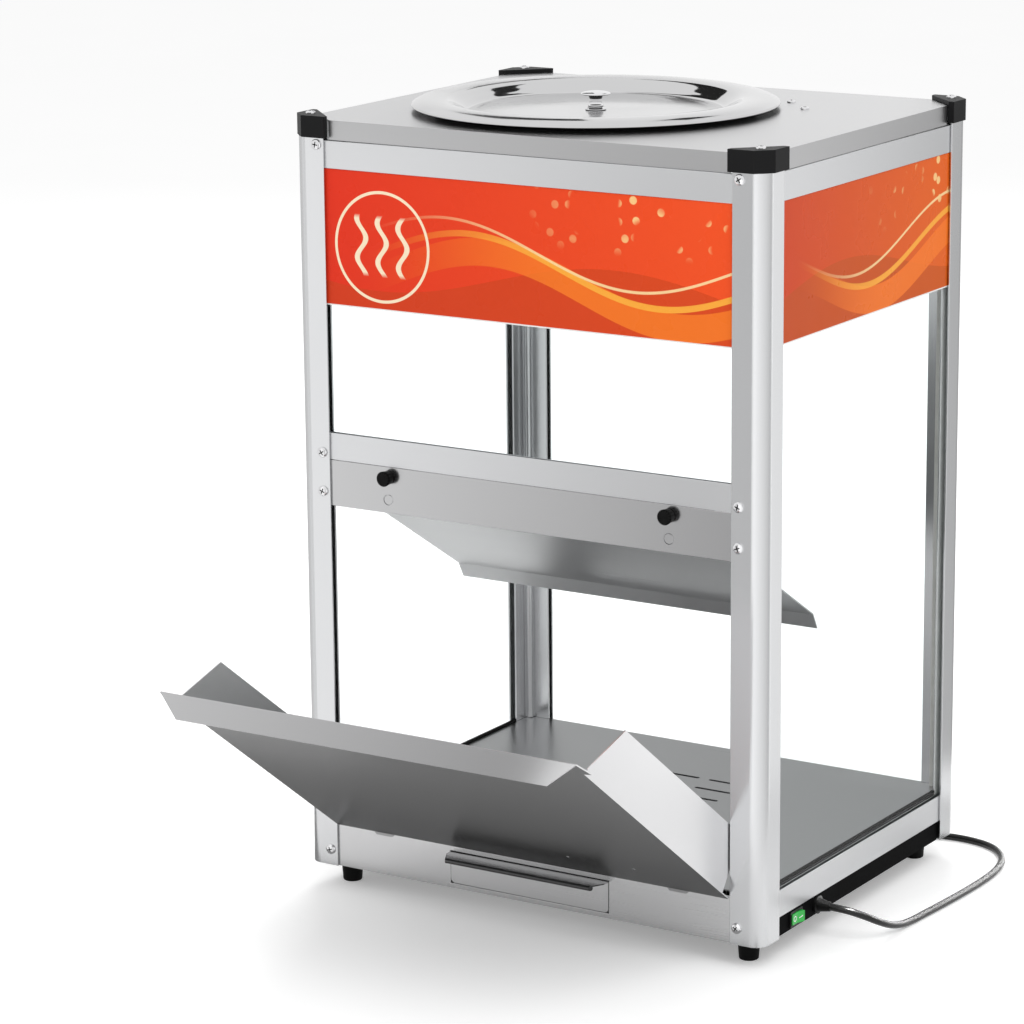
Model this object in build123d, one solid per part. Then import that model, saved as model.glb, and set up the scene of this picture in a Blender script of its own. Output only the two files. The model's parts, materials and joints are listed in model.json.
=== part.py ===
"""Counter-top chip warmer: an aluminium-framed cabinet with clear windows, a lift-off lid,
a tilting serving door, a sloping flow baffle, a crumb drawer and a lit, heated base.

Millimetres, +Z up, +Y to the rear, +X to the right. The cabinet is drawn about its own plan
centre and then moved so that the origin is the middle of the space it stands in, on the counter.
"""
from build123d import *
import math
import os

# ---------------------------------------------------------------- driving dimensions
cabinet_width = 460.0
cabinet_depth = 368.0
foot_height = 21.0
post_height = 652.0

# corner post extrusion
post_flange = 31.0
post_wall = 1.8
slot_width = 5.1
post_inner_wall = 1.6
slot_root = 14.5            # from the sharp corner to the bottom of a slot
post_corner_radius = 12.5
screw_port = 11.0           # centre of the screw port, from both outer faces
screw_port_radius = 4.0
slot_fit = 0.15

# rails, windows and banners
rail_height = 24.0
rail_end_gap = 0.3
groove_width = 3.5
groove_depth = 7.0
window_thickness = 2.4
banner_thickness = 0.8
panel_gap = 0.1
banner_height = 118.5       # below the top rail
seat_gap = 0.2
corner_gap = 0.6            # of flat sheets to the posts

# heights above the lower ends of the posts
base_panel_height = 17.5
front_panel_height = 41.0
mouth_height = 289.0        # from the front panel to the apron
apron_height = 40.8
post_over_rail = 2.0        # of the posts above the top rails
top_skirt_height = 17.2     # of the top sheet above the rails

# sheet metal
sheet = 1.2
top_sheet = 1.0
bend_radius = 1.6

# corner caps
cap_proud = 2.8
cap_leg = 37.0
cap_leg_end = 5.0
cap_chamfer = 13.0
cap_height = 18.8
cap_rounding = 0.8
cap_screw_length = 14.0     # in the post
top_skirt_setback = 3.4     # of the top's skirt behind the front of the posts
top_clip_gap = 0.5          # of the top's clipped corners to the caps

# lid and its opening
lid_centre_x = -34.0
lid_centre_y = -7.0
lid_radius = 160.0
lid_wall = 1.0
lid_recess_radius = 112.0
lid_recess_drop = 1.4       # of the recess below the top sheet
lid_crown_height = 10.8     # of the crown above the top sheet
lid_rim_height = 5.4
lid_cone_width = 16.0       # of the cone from the recess to the crown
collar_inset = 22.0         # of the collar inside the rim
lid_knob_radius = 13.0
lid_knob_foot = 9.2
lid_knob_waist = 5.4
lid_knob_height = 16.2
lid_knob_screw_length = 8.0

# serving door, measured from its hinge line
door_open_angle = 53.5      # from upright, about the hinge line; it closes until it meets the screws
door_length = 309.5
door_setback = 3.45         # of the door's sheet in front of the hinge line
door_rise = 1.0             # of the hinge line above the front panel
door_side_gap = 0.8         # to the posts, each side
door_ear = 8.0
door_ear_length = 20.0
door_lip = 19.7
door_lip_mitre = 22.0
cheek_start = 14.0
cheek_end = 287.0
cheek_reach = 49.5
cheek_slant = 38.0
tongue_inset = 81.0         # of the stop tongues from the cabinet's side
tongue_width = 24.0
tongue_length = 5.6
tongue_top = -1.5           # from the hinge line, where it joins the sheet
hook_inset = 118.0
hook_width = 30.0
hook_length = 6.0
hinge_gap = 0.3
door_hole_radius = 1.5
door_hole_height = 38.5
door_hole_places = (59.9, 124.7)
cheek_corner_cut = 5.0

# flow baffle behind the apron
baffle_side_gap = 48.0      # to the cabinet's side
baffle_bend_drop = 22.8     # of the bend below the apron's top
baffle_reach = 174.0        # of the slope behind the front sheets
baffle_fall = 105.9         # of the slope
baffle_lip_reach = 7.8
baffle_lip_fall = 14.2
knob_inset = 90.6           # of the knobs from the cabinet's side
knob_drop = 9.2             # of the knobs below the apron's top
spare_hole_drop = 29.0
knob_hole_radius = 4.9
knob_shoulder_gap = 0.3
knob_flutes = 18
flute_width = 0.9
stud_length = 7.0           # behind the baffle
stud_nut_width = 8.0
stud_nut_height = 4.0
knob_length = 8.7
knob_base_radius = 5.8
knob_front_radius = 6.7
stud_radius = 2.0
running_gap = 0.06

# crumb drawer
drawer_width = 160.0
drawer_bottom = 5.0
drawer_front_height = 28.5
drawer_depth = 250.0
drawer_wall = 1.0
drawer_gap = 0.6
drawer_tray_height = 22.5
drawer_pull_reach = 21.0
drawer_pull_hem = 2.1
drawer_corner = 4.0
drawer_pull_cut = 8.0       # of the pull's slanted ends
tray_inset = 2.5            # of the tray inside the front, each side
runner_length = 276.0
runner_gap = 0.8            # beside the tray
runner_foot = 10.0
runner_height = 18.0
runner_ledge = 8.0
runner_setback = 2.0        # behind the front panel

# heated base
floor_height = 43.8         # top of the floor plate
floor_leg_inset = 40.0      # of the floor's legs from the cabinet's side
floor_leg_clear = 12.0      # of their rear ends
floor_gap = 0.5             # to the windows
crumb_slot_width = 4.0
crumb_slot_length = 38.0
crumb_slot_rows = 9
crumb_slot_pitch = 26.0
crumb_column_pitch = 48.0
crumb_slot_middle = -20.0
floor_front_gap = 6.5       # behind the front panel, for the door's hooks
heater_radius = 3.2
heater_height = 24.0
heater_leg_gap = 15.0       # of an element beside the floor's leg
heater_reach = 130.0
heater_support_places = (-70.0, 80.0)
heater_support_foot = 10.0
heater_support_margin = 9.0
heater_support_gap = 6.5    # of a support beside the runner's foot
cradle_gap = 0.15
seal_size = 2.6
vent_length = 44.0
vent_width = 5.0
vent_places = (-90.0, -60.0, -30.0, 30.0, 60.0, 90.0)
terminal_inset = 23.0       # of the terminals from the cabinet's side
terminal_y = -25.0
terminal_size = (42.0, 16.0, 13.0)      # along Y, across, high
terminal_well_radius = 3.2
thermostat_y = 37.0
thermostat_size = (30.0, 20.0, 14.0)
wire_spread = 3.0

# cover for the lamp's lead, in the rear right corner
cover_width = 10.4
cover_depth = 8.4
cover_wall = 1.0
lead_radius = 1.2
lead_gap = 0.2

# feet
foot_inset_x = 27.5
foot_inset_y = 28.0
foot_radius = 10.0
foot_tip_radius = 8.6
foot_tip_rounding = 1.5
foot_bolt_radius = 2.5
foot_head_radius = 4.6
foot_head_height = 3.0
foot_pocket_depth = 9.0
foot_pocket_gap = 0.4
foot_nut_width = 8.0
foot_nut_height = 4.0
foot_screw_spare = 5.5      # of the screw above the pan

# fasteners
screw_radius = 2.0
screw_head_radius = 4.6
screw_head_height = 2.6
screw_length = 9.6
screw_inset = 24.0
top_screw_drop = 3.8        # below the top of the top rails
mid_screw_rise = 6.0        # above the lower edge of the middle rail
apron_screw_rise = 12.5     # above the lower edge of the apron
panel_screw_drop = 26.3     # below the top of the front panel
rear_screw_rise = 12.3      # above the lower edge of the rear bottom rail
cap_screw_radius = 4.3
cap_screw_height = 2.4
hole_gap = 0.1

# rocker switch, on the right of the base
switch_y = -119.6
switch_height = 8.9
bezel_length = 21.0
bezel_width = 14.6
bezel_proud = 2.0
switch_body_length = 19.0
switch_body_width = 12.7
switch_body_depth = 15.0
rocker_length = 17.0
rocker_width = 9.8
rocker_middle = 1.9
rocker_tilt = 10.0
rocker_pin_radius = 1.0
rocker_pin_reach = 0.9      # of the pin beyond each side of the rocker
rocker_pivot = 1.0          # of the pin in front of the panel
rocker_depth = 3.6          # behind the pin
rocker_draft = 1.4
pocket_gap_long = 0.8
pocket_gap_side = 0.3

# mains cord
cord_diameter = 6.4
gland_y = -80.0
gland_height = 8.3
gland_flange_radius = 7.8
gland_flange_height = 2.4
gland_waist_radius = 5.9
gland_hole_gap = 0.2
gland_wall = 0.8
gland_reach = 13.4
gland_inner_length = 10.0
coil_turn_gap = 0.6
coil_outer_radius = 46.0
coil_half_turns = 6         # of each layer
coil_x = 30.0
coil_y = 242.4
coil_lift = 0.9
cord_lead_out = 22.0        # straight end of the coil, up to the plug
plug_relief = 30.0
plug_relief_radius = 6.0
plug_length = 32.0
plug_width = 26.0
plug_corner = 7.0
plug_clearance = 0.2        # above the counter
pin_spacing = 12.7
pin_length = 17.5
pin_width = 6.4
pin_thickness = 1.5
earth_pin_length = 20.0
earth_pin_radius = 2.4
earth_pin_drop = 6.5
tie_thickness = 0.5
tie_width = 8.0
tie_gap = 0.3
tie_side_gap = 1.6

# lamp over the hopper
lamp_inset_x = 116.6
lamp_inset_y = 95.8
lamp_turn = -47.0
lamp_screw_spacing = 45.2
lamp_screw_radius = 3.8
lamp_screw_height = 2.2
lamp_screw_length = 6.0
lamp_drop = 14.0
lamp_bracket_width = 22.0
lamp_bracket_ear = 8.0
lamp_bracket_bend = 6.0     # of the drop inside each screw
lamp_holder_radius = 19.0
lamp_holder_height = 38.0
lamp_holder_roof = 6.0
bulb_seat = 6.4
bulb_cap_radius = 13.0
bulb_cap_gap = 0.6
bulb_radius = 29.0
bulb_length = 96.0
bulb_neck = 34.0
lead_drop = 10.0            # of the lamp lead below the bracket
lead_corner_fall = 20.0

# ---------------------------------------------------------------- places worked out from them
half_w = cabinet_width / 2
half_d = cabinet_depth / 2
base = foot_height
post_top = base + post_height
post_depth = post_wall + slot_width + post_inner_wall
top_rail_top = post_height - post_over_rail
rail_setback = post_wall + slot_fit
rail_thickness = slot_width - 2 * slot_fit
groove_setback = rail_setback + (rail_thickness - groove_width) / 2
banner_setback = groove_setback + panel_gap
window_setback = banner_setback + banner_thickness + panel_gap
top_rail_bottom = base + top_rail_top - rail_height
top_z = base + top_rail_top + top_skirt_height
bottom_rail_bottom = base + base_panel_height + seat_gap
bottom_rail_top = bottom_rail_bottom + rail_height
panel_top = base + front_panel_height
apron_bottom = panel_top + mouth_height
apron_top = apron_bottom + apron_height
mid_rail_bottom = apron_top + seat_gap
mid_rail_top = mid_rail_bottom + rail_height
panel_face = -half_d + rail_setback
floor_top = base + floor_height
hinge_y = panel_face + sheet / 2
hinge_z = panel_top + door_rise
switch_z = base + switch_height
gland_z = base + gland_height
side_face = half_w - top_skirt_setback
knob_x = half_w - knob_inset
knob_z = apron_top - knob_drop
spare_hole_z = apron_top - spare_hole_drop
baffle_half_width = half_w - baffle_side_gap
floor_leg = half_w - floor_leg_inset
heater_outer = floor_leg - heater_leg_gap
runner_web = drawer_width / 2 - tray_inset + runner_gap
runner_side = runner_web + sheet + runner_foot
heater_inner = runner_side + heater_support_gap + heater_support_margin
terminal_x = half_w - terminal_inset
foot_x = half_w - foot_inset_x
foot_y = half_d - foot_inset_y
lamp_x = half_w - lamp_inset_x
lamp_y = half_d - lamp_inset_y
lamp_lead_z = top_z - top_sheet - lamp_drop - sheet - lead_drop
collar_radius = lid_radius - collar_inset
top_screw_z = base + top_rail_top - top_screw_drop
front_screw_places = (
    top_screw_z,
    mid_rail_bottom + mid_screw_rise,
    apron_bottom + apron_screw_rise,
    panel_top - panel_screw_drop,
)
rear_screw_places = (top_screw_z, bottom_rail_bottom + rear_screw_rise)
coil_z = cord_diameter / 2 + coil_lift
coil_layer = cord_diameter + coil_turn_gap

lead_x = half_w - post_depth - cover_width + cover_wall + lead_gap + lead_radius
lead_y = half_d - post_depth - lead_gap - lead_radius

nodes = {}


# ---------------------------------------------------------------- helpers
def block(x0, x1, y0, y1, z0, z1):
    """A box between two corners."""
    return Pos((x0 + x1) / 2, (y0 + y1) / 2, (z0 + z1) / 2) * Box(x1 - x0, y1 - y0, z1 - z0)


def rod(radius, start, end):
    """A round bar between two points."""
    axis = Vector(*end) - Vector(*start)
    plane = Plane(origin=start, z_dir=axis)
    return extrude(plane * Circle(radius), axis.length)


def mirror_x(shape):
    return mirror(shape, about=Plane.YZ)


def mirror_y(shape):
    return mirror(shape, about=Plane.XZ)


def profile(plane, points, length):
    """A straight-sided outline, pushed out along the plane's normal."""
    return extrude(plane * make_face(Polyline(*points, close=True)), length)


def bent_sheet(points, thickness, radius):
    """The cross-section of a folded sheet whose middle follows the points."""
    line = FilletPolyline(*points, radius=radius)
    left = offset(line, amount=thickness / 2, side=Side.LEFT)
    right = offset(line, amount=thickness / 2, side=Side.RIGHT)
    return make_face(left.edges()) + make_face(right.edges())


def hex_nut(across_flats, height, bore):
    return extrude(RegularPolygon(across_flats / 2, 6, major_radius=False) - Circle(bore), height)


def pan_screw(head_radius, head_height, radius, length):
    """A pan-head screw: head above z = 0, shank below."""
    crown = head_height * 0.45
    outline = make_face(
        [
            Line((0, 0), (head_radius, 0)),
            Line((head_radius, 0), (head_radius, crown)),
            TangentArc((0, head_height), (head_radius, crown), tangent=(1, 0)),
            Line((0, head_height), (0, 0)),
        ]
    )
    head = revolve(Plane.XZ * outline, Axis.Z)
    return head + Pos(0, 0, -length / 2) * Cylinder(radius, length)


# ---------------------------------------------------------------- frame
def post_section():
    """L-shaped extrusion with two panel slots and a screw port; corner at the origin."""
    outer = make_face(
        [
            Line((post_flange, 0), (post_corner_radius, 0)),
            RadiusArc((post_corner_radius, 0), (0, post_corner_radius), post_corner_radius),
            Line((0, post_corner_radius), (0, post_flange)),
            Line((0, post_flange), (post_depth, post_flange)),
            Line((post_depth, post_flange), (post_depth, post_depth)),
            Line((post_depth, post_depth), (post_flange, post_depth)),
            Line((post_flange, post_depth), (post_flange, 0)),
        ]
    )
    boss = Pos(screw_port, screw_port) * Circle(screw_port_radius)
    length = post_flange - slot_root
    slot_middle = post_wall + slot_width / 2
    slot_x = Pos(slot_root + length / 2, slot_middle) * Rectangle(length, slot_width)
    slot_y = Pos(slot_middle, slot_root + length / 2) * Rectangle(slot_width, length)
    bore = Pos(screw_port, screw_port) * Circle(screw_radius + running_gap)
    return outer + boss - slot_x - slot_y - bore


def screw_hole(x, z, y_start, y_end):
    return rod(screw_radius + hole_gap, (x, y_start, z), (x, y_end, z))


def post(places):
    """The front left post, with its flange drilled at the heights."""
    body = Pos(-half_w, -half_d, base) * extrude(post_section(), post_height)
    for z in places:
        body -= screw_hole(-half_w + screw_inset, z, -half_d - 1, -half_d + post_depth + 1)
    return body


def rail_section(groove_below, groove_above):
    """Rail across the slot: local x is the setback from the outer face, y the height."""
    section = Pos(rail_setback + rail_thickness / 2, rail_height / 2) * Rectangle(
        rail_thickness, rail_height
    )
    groove = Rectangle(groove_width, groove_depth)
    middle = groove_setback + groove_width / 2
    if groove_below:
        section -= Pos(middle, groove_depth / 2) * groove
    if groove_above:
        section -= Pos(middle, rail_height - groove_depth / 2) * groove
    return section


def rail_length(side):
    return side - 2 * (slot_root + rail_end_gap)


def front_rail(z, groove_below, groove_above, screw_z):
    """A rail across the front, drilled for the post screws."""
    length = rail_length(cabinet_width)
    plane = Plane(origin=(-length / 2, -half_d, z), x_dir=(0, 1, 0), z_dir=(1, 0, 0))
    rail = extrude(plane * rail_section(groove_below, groove_above), length)
    for x in (-half_w + screw_inset, half_w - screw_inset):
        rail -= screw_hole(x, screw_z, -half_d, -half_d + post_depth)
    return rail


def side_rail(z, groove_below, groove_above):
    """A rail along the left side."""
    length = rail_length(cabinet_depth)
    plane = Plane(origin=(-half_w, length / 2, z), x_dir=(1, 0, 0), z_dir=(0, -1, 0))
    return extrude(plane * rail_section(groove_below, groove_above), length)


def front_pane(setback, thickness, z0, z1):
    half = rail_length(cabinet_width) / 2
    y = -half_d + setback
    return block(-half, half, y, y + thickness, z0, z1)


def side_pane(setback, thickness, z0, z1):
    half = rail_length(cabinet_depth) / 2
    x = -half_w + setback
    return block(x, x + thickness, -half, half, z0, z1)


def frame():
    front_left = post(front_screw_places)
    rear_left = mirror_y(post(rear_screw_places))
    nodes["post_front_left"] = front_left
    nodes["post_front_right"] = mirror_x(front_left)
    nodes["post_rear_left"] = rear_left
    nodes["post_rear_right"] = mirror_x(rear_left)

    top_rail = front_rail(top_rail_bottom, True, False, top_screw_z)
    nodes["top_rail_front"] = top_rail
    nodes["mid_rail_front"] = front_rail(mid_rail_bottom, False, True, front_screw_places[1])
    nodes["top_rail_rear"] = mirror_y(top_rail)
    rear_rail = front_rail(bottom_rail_bottom, False, True, rear_screw_places[1])
    nodes["bottom_rail_rear"] = mirror_y(rear_rail)
    top_left = side_rail(top_rail_bottom, True, False)
    bottom_left = side_rail(bottom_rail_bottom, False, True)
    nodes["top_rail_left"] = top_left
    nodes["top_rail_right"] = mirror_x(top_left)
    nodes["bottom_rail_left"] = bottom_left
    nodes["bottom_rail_right"] = mirror_x(bottom_left)


def windows():
    reach = groove_depth - seat_gap
    top = top_rail_bottom + reach
    lower = bottom_rail_top - reach
    banner_bottom = top_rail_bottom - banner_height
    nodes["front_window"] = front_pane(window_setback, window_thickness, mid_rail_top - reach, top)
    nodes["rear_window"] = mirror_y(front_pane(window_setback, window_thickness, lower, top))
    left = side_pane(window_setback, window_thickness, lower, top)
    nodes["left_window"] = left
    nodes["right_window"] = mirror_x(left)
    nodes["front_banner"] = front_pane(banner_setback, banner_thickness, banner_bottom, top)
    left_banner = side_pane(banner_setback, banner_thickness, banner_bottom, top)
    nodes["left_banner"] = left_banner
    nodes["right_banner"] = mirror_x(left_banner)


def post_screws(places):
    screws = []
    screw = pan_screw(screw_head_radius, screw_head_height, screw_radius, screw_length)
    for z in places:
        for x in (-half_w + screw_inset, half_w - screw_inset):
            plane = Plane(origin=(x, -half_d, z), x_dir=(1, 0, 0), z_dir=(0, -1, 0))
            screws.append(plane * screw)
    return screws


# ---------------------------------------------------------------- top, caps and lid
def cap_outline():
    """Plan of a corner cap; the post's sharp corner is at the origin."""
    p = -cap_proud
    far = cap_leg - cap_proud
    near = cap_leg_end - cap_proud
    return [
        (p + cap_chamfer, p),
        (far, p),
        (far, near),
        (near, far),
        (p, far),
        (p, p + cap_chamfer),
    ]


def corner_cap():
    cap = profile(Plane((-half_w, -half_d, post_top)), cap_outline(), cap_height)
    cap = fillet(cap.faces().sort_by(Axis.Z)[-1].edges(), cap_rounding)
    x, y = -half_w + screw_port, -half_d + screw_port
    return cap - rod(screw_radius + hole_gap, (x, y, post_top - 1), (x, y, post_top + cap_height + 1))


def cap_screw():
    length = cap_height + cap_screw_length
    screw = pan_screw(cap_screw_radius, cap_screw_height, screw_radius, length)
    return Pos(-half_w + screw_port, -half_d + screw_port, post_top + cap_height) * screw


def four_corners(shape):
    return [shape, mirror_x(shape), mirror_y(shape), mirror_x(mirror_y(shape))]


def top_panel():
    """Folded sheet with clipped corners, a skirt on each side and a collar for the lid."""
    s = top_skirt_setback
    clip = cap_leg - cap_proud + top_clip_gap
    corner = clip - s
    x, y = half_w - s, half_d - s
    outline = [
        (-x + corner, -y), (x - corner, -y), (x, -y + corner), (x, y - corner),
        (x - corner, y), (-x + corner, y), (-x, y - corner), (-x, -y + corner),
    ]
    skirt_bottom = base + top_rail_top + seat_gap
    panel = profile(Plane((0, 0, top_z - top_sheet)), outline, top_sheet)
    for sign in (-1, 1):
        y0, y1 = sorted((sign * y, sign * (y - top_sheet)))
        x0, x1 = sorted((sign * x, sign * (x - top_sheet)))
        panel += block(-x + corner, x - corner, y0, y1, skirt_bottom, top_z)
        panel += block(x0, x1, -y + corner, y - corner, skirt_bottom, top_z)
    collar_height = lid_crown_height - lid_wall - seat_gap
    collar = Pos(lid_centre_x, lid_centre_y, top_z + collar_height / 2) * (
        Cylinder(collar_radius + top_sheet, collar_height) - Cylinder(collar_radius, collar_height)
    )
    hole = Pos(lid_centre_x, lid_centre_y, top_z) * Cylinder(collar_radius, 4 * top_sheet)
    panel = panel - hole + collar
    for point in lamp_screw_points():
        panel -= rod(screw_radius + hole_gap, (*point, top_z - 2), (*point, top_z + 1))
    return panel


def lid_dish():
    """Spun dish: sunk middle, rounded crown that rests on the collar, rolled rim."""
    crown = lid_crown_height
    middle = -lid_recess_drop
    slope_top = lid_recess_radius + lid_cone_width
    outer = make_face(
        [
            Line((0, middle - lid_wall), (0, middle)),
            Line((0, middle), (lid_recess_radius - 3, middle)),
            Spline(
                (lid_recess_radius - 3, middle),
                (lid_recess_radius + 8, (middle + crown) / 2 - 0.4),
                (slope_top + 4, crown - 0.4),
                (collar_radius + 2, crown),
                (lid_radius - 8, crown - 2.4),
                (lid_radius, lid_rim_height),
                tangents=((1, 0), (0.35, -1)),
            ),
            Line((lid_radius, lid_rim_height), (lid_radius - lid_wall, lid_rim_height - 0.8)),
            Spline(
                (lid_radius - lid_wall, lid_rim_height - 0.8),
                (lid_radius - 8.6, crown - 2.4 - lid_wall),
                (collar_radius + 1.9, crown - lid_wall),
                (slope_top + 4.3, crown - 0.4 - lid_wall),
                (lid_recess_radius + 8.8, (middle + crown) / 2 - 0.4 - lid_wall * 0.8),
                (lid_recess_radius - 3, middle - lid_wall),
                tangents=((-0.35, 1), (-1, 0)),
            ),
            Line((lid_recess_radius - 3, middle - lid_wall), (0, middle - lid_wall)),
        ]
    )
    dish = revolve(Plane.XZ * outer, Axis.Z)
    dish -= Cylinder(screw_radius + hole_gap, 6 * lid_wall)
    return Pos(lid_centre_x, lid_centre_y, top_z) * dish


def lid_knob():
    """Waisted pull knob, tapped from below."""
    h = lid_knob_height
    r = lid_knob_radius
    foot = lid_knob_foot
    waist = lid_knob_waist
    outline = make_face(
        [
            Line((0, 0), (foot, 0)),
            Line((foot, 0), (foot, h * 0.1)),
            Spline(
                (foot, h * 0.1), (waist + 1, h * 0.2), (waist, h * 0.43), (waist + 0.2, h * 0.65),
                (waist + 2.8, h - 3.2), (r, h - 2.6),
            ),
            Line((r, h - 2.6), (r, h - 1.0)),
            TangentArc((0, h), (r, h - 1.0), tangent=(1, 0)),
            Line((0, h), (0, 0)),
        ]
    )
    knob = revolve(Plane.XZ * outline, Axis.Z)
    tapped = lid_knob_screw_length - lid_wall + 0.4
    knob -= Cylinder(screw_radius + running_gap, 2 * tapped)
    return Pos(lid_centre_x, lid_centre_y, top_z - lid_recess_drop) * knob


def lid_knob_screw():
    screw = pan_screw(cap_screw_radius, cap_screw_height, screw_radius, lid_knob_screw_length)
    screw = Rot(180, 0, 0) * screw
    return Pos(lid_centre_x, lid_centre_y, top_z - lid_recess_drop - lid_wall) * screw


def top_and_lid():
    nodes["corner_caps"] = four_corners(corner_cap())
    nodes["cap_screws"] = four_corners(cap_screw())
    nodes["top_panel"] = top_panel()
    nodes["lid_dish"] = lid_dish()
    nodes["lid_knob"] = lid_knob()
    nodes["lid_knob_screw"] = lid_knob_screw()


# ---------------------------------------------------------------- apron, baffle and knobs
def apron_plate():
    half = rail_length(cabinet_width) / 2
    plate = block(-half, half, panel_face, panel_face + sheet, apron_bottom, apron_top)
    y0, y1 = panel_face - 1, panel_face + sheet + 1
    for x in (-half_w + screw_inset, half_w - screw_inset):
        plate -= screw_hole(x, front_screw_places[2], y0, y1)
    for x in (-knob_x, knob_x):
        for z in (knob_z, spare_hole_z):
            plate -= rod(knob_hole_radius, (x, y0, z), (x, y1, z))
    return plate


baffle_face = panel_face + sheet + panel_gap


def baffle():
    """Bolted flange, long slope and a turned-down lip, folded from one sheet."""
    y = baffle_face + sheet / 2
    bend = apron_top - baffle_bend_drop
    points = [
        (y, apron_top),
        (y, bend),
        (y + baffle_reach, bend - baffle_fall),
        (y + baffle_reach + baffle_lip_reach, bend - baffle_fall - baffle_lip_fall),
    ]
    section = bent_sheet(points, sheet, bend_radius)
    plane = Plane(origin=(-baffle_half_width, 0, 0), x_dir=(0, 1, 0), z_dir=(1, 0, 0))
    body = extrude(plane * section, 2 * baffle_half_width)
    for x in (-knob_x, knob_x):
        start, end = (x, baffle_face - 1, knob_z), (x, baffle_face + sheet + 1, knob_z)
        body -= rod(stud_radius + hole_gap, start, end)
    return body


def stud_nut(x):
    nut = hex_nut(stud_nut_width, stud_nut_height, stud_radius + running_gap)
    plane = Plane(origin=(x, baffle_face + sheet, knob_z), x_dir=(1, 0, 0), z_dir=(0, 1, 0))
    return plane * nut


def thumb_knob(x):
    """Tapered, fluted knob with its threaded stud, shoulder first through the apron."""
    outline = make_face(
        [
            Line((0, 0), (knob_base_radius, 0)),
            Line((knob_base_radius, 0), (knob_front_radius, knob_length - 1.2)),
            Line((knob_front_radius, knob_length - 1.2), (knob_front_radius - 1.0, knob_length)),
            Line((knob_front_radius - 1.0, knob_length), (0, knob_length)),
            Line((0, knob_length), (0, 0)),
        ]
    )
    knob = revolve(Plane.XZ * outline, Axis.Z)
    groove = Box(1.0, flute_width, knob_length + 2)
    groove = Pos(knob_front_radius + 0.15, 0, knob_length / 2) * groove
    knob -= PolarLocations(0, knob_flutes) * groove
    shoulder_end = sheet + seat_gap + panel_gap / 2
    shoulder = Cylinder(knob_hole_radius - knob_shoulder_gap, shoulder_end)
    knob += Pos(0, 0, -shoulder_end / 2) * shoulder
    stud = shoulder_end + sheet + stud_length
    knob += Pos(0, 0, -stud / 2) * Cylinder(stud_radius, stud)
    plane = Plane(origin=(x, panel_face - seat_gap, knob_z), x_dir=(1, 0, 0), z_dir=(0, -1, 0))
    return plane * knob


def apron_and_baffle():
    nodes["apron_plate"] = apron_plate()
    nodes["flow_baffle"] = baffle()
    nodes["stud_nuts"] = [stud_nut(-knob_x), stud_nut(knob_x)]
    nodes["thumb_knob_left"] = thumb_knob(-knob_x)
    nodes["thumb_knob_right"] = thumb_knob(knob_x)


# ---------------------------------------------------------------- serving door
def door():
    """Drawn upright about its hinge line at the origin, then tilted open.

    One sheet: panel with ears and a mitred pull lip, two side cheeks, hooks that hang behind the
    front panel and stop tongues that lie on its face when the door is open.
    """
    half = half_w - post_flange - door_side_gap
    outer = -door_setback - sheet / 2
    inner = -door_setback + sheet / 2
    ear = half + door_ear
    ear_bottom = door_length - door_ear_length
    bottom = sheet * 0.7
    outline = [
        (-half, bottom), (half, bottom), (half, ear_bottom), (ear, ear_bottom + 2),
        (half + 2.6, door_length), (-half - 2.6, door_length), (-ear, ear_bottom + 2),
        (-half, ear_bottom),
    ]
    sheet_plane = Plane(origin=(0, inner, 0), x_dir=(1, 0, 0), z_dir=(0, -1, 0))
    body = profile(sheet_plane, outline, sheet)

    drop = door_lip * 0.19
    lip_plane = Plane(origin=(0, outer, door_length), x_dir=(1, 0, 0), z_dir=(0, -drop, door_lip))
    lip = profile(
        lip_plane,
        [
            (-half - 2.6, 0.6), (half + 2.6, 0.6),
            (half + 2.6 - door_lip_mitre, -door_lip), (-half - 2.6 + door_lip_mitre, -door_lip),
        ],
        -sheet,
    )
    body += lip

    cheek_outline = [
        (outer + sheet * 0.5, cheek_start), (outer + sheet * 0.5, cheek_end),
        (inner + cheek_corner_cut, cheek_end - 1), (cheek_reach, cheek_end - cheek_slant),
        (cheek_reach, cheek_start),
    ]
    for sign in (-1, 1):
        plane = Plane(origin=(sign * half, 0, 0), x_dir=(0, 1, 0), z_dir=(1, 0, 0))
        body += profile(plane, cheek_outline, -sign * sheet)

    # hooks over the top of the front panel, clear of it by the hinge gap
    behind = sheet / 2 + hinge_gap
    for sign in (-1, 1):
        x0 = sign * (half_w - hook_inset) - hook_width / 2
        x1 = x0 + hook_width
        body += block(x0, x1, outer, behind + sheet, bottom, bottom + sheet)
        body += block(x0, x1, behind, behind + sheet, bottom - hook_length, bottom + sheet)
    body = Rot(door_open_angle, 0, 0) * body

    # stop tongues, drawn with the door open
    for sign in (-1, 1):
        centre = sign * (half_w - tongue_inset)
        face = -sheet / 2 - hinge_gap
        plane = Plane(origin=(centre, face, 0), x_dir=(1, 0, 0), z_dir=(0, -1, 0))
        body += profile(
            plane,
            [
                (-tongue_width / 2, tongue_top), (-tongue_width / 2 + 4, -tongue_length),
                (tongue_width / 2 - 4, -tongue_length), (tongue_width / 2, tongue_top),
            ],
            sheet,
        )
        body += block(
            centre - tongue_width / 2, centre + tongue_width / 2,
            face - 2.1, face, tongue_top - sheet, tongue_top,
        )
    for x in door_hole_places:
        start, end = (x, outer - 2, door_hole_height), (x, inner + 2, door_hole_height)
        body -= Rot(door_open_angle, 0, 0) * rod(door_hole_radius, start, end)
    return Pos(0, hinge_y, hinge_z) * body


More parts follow.
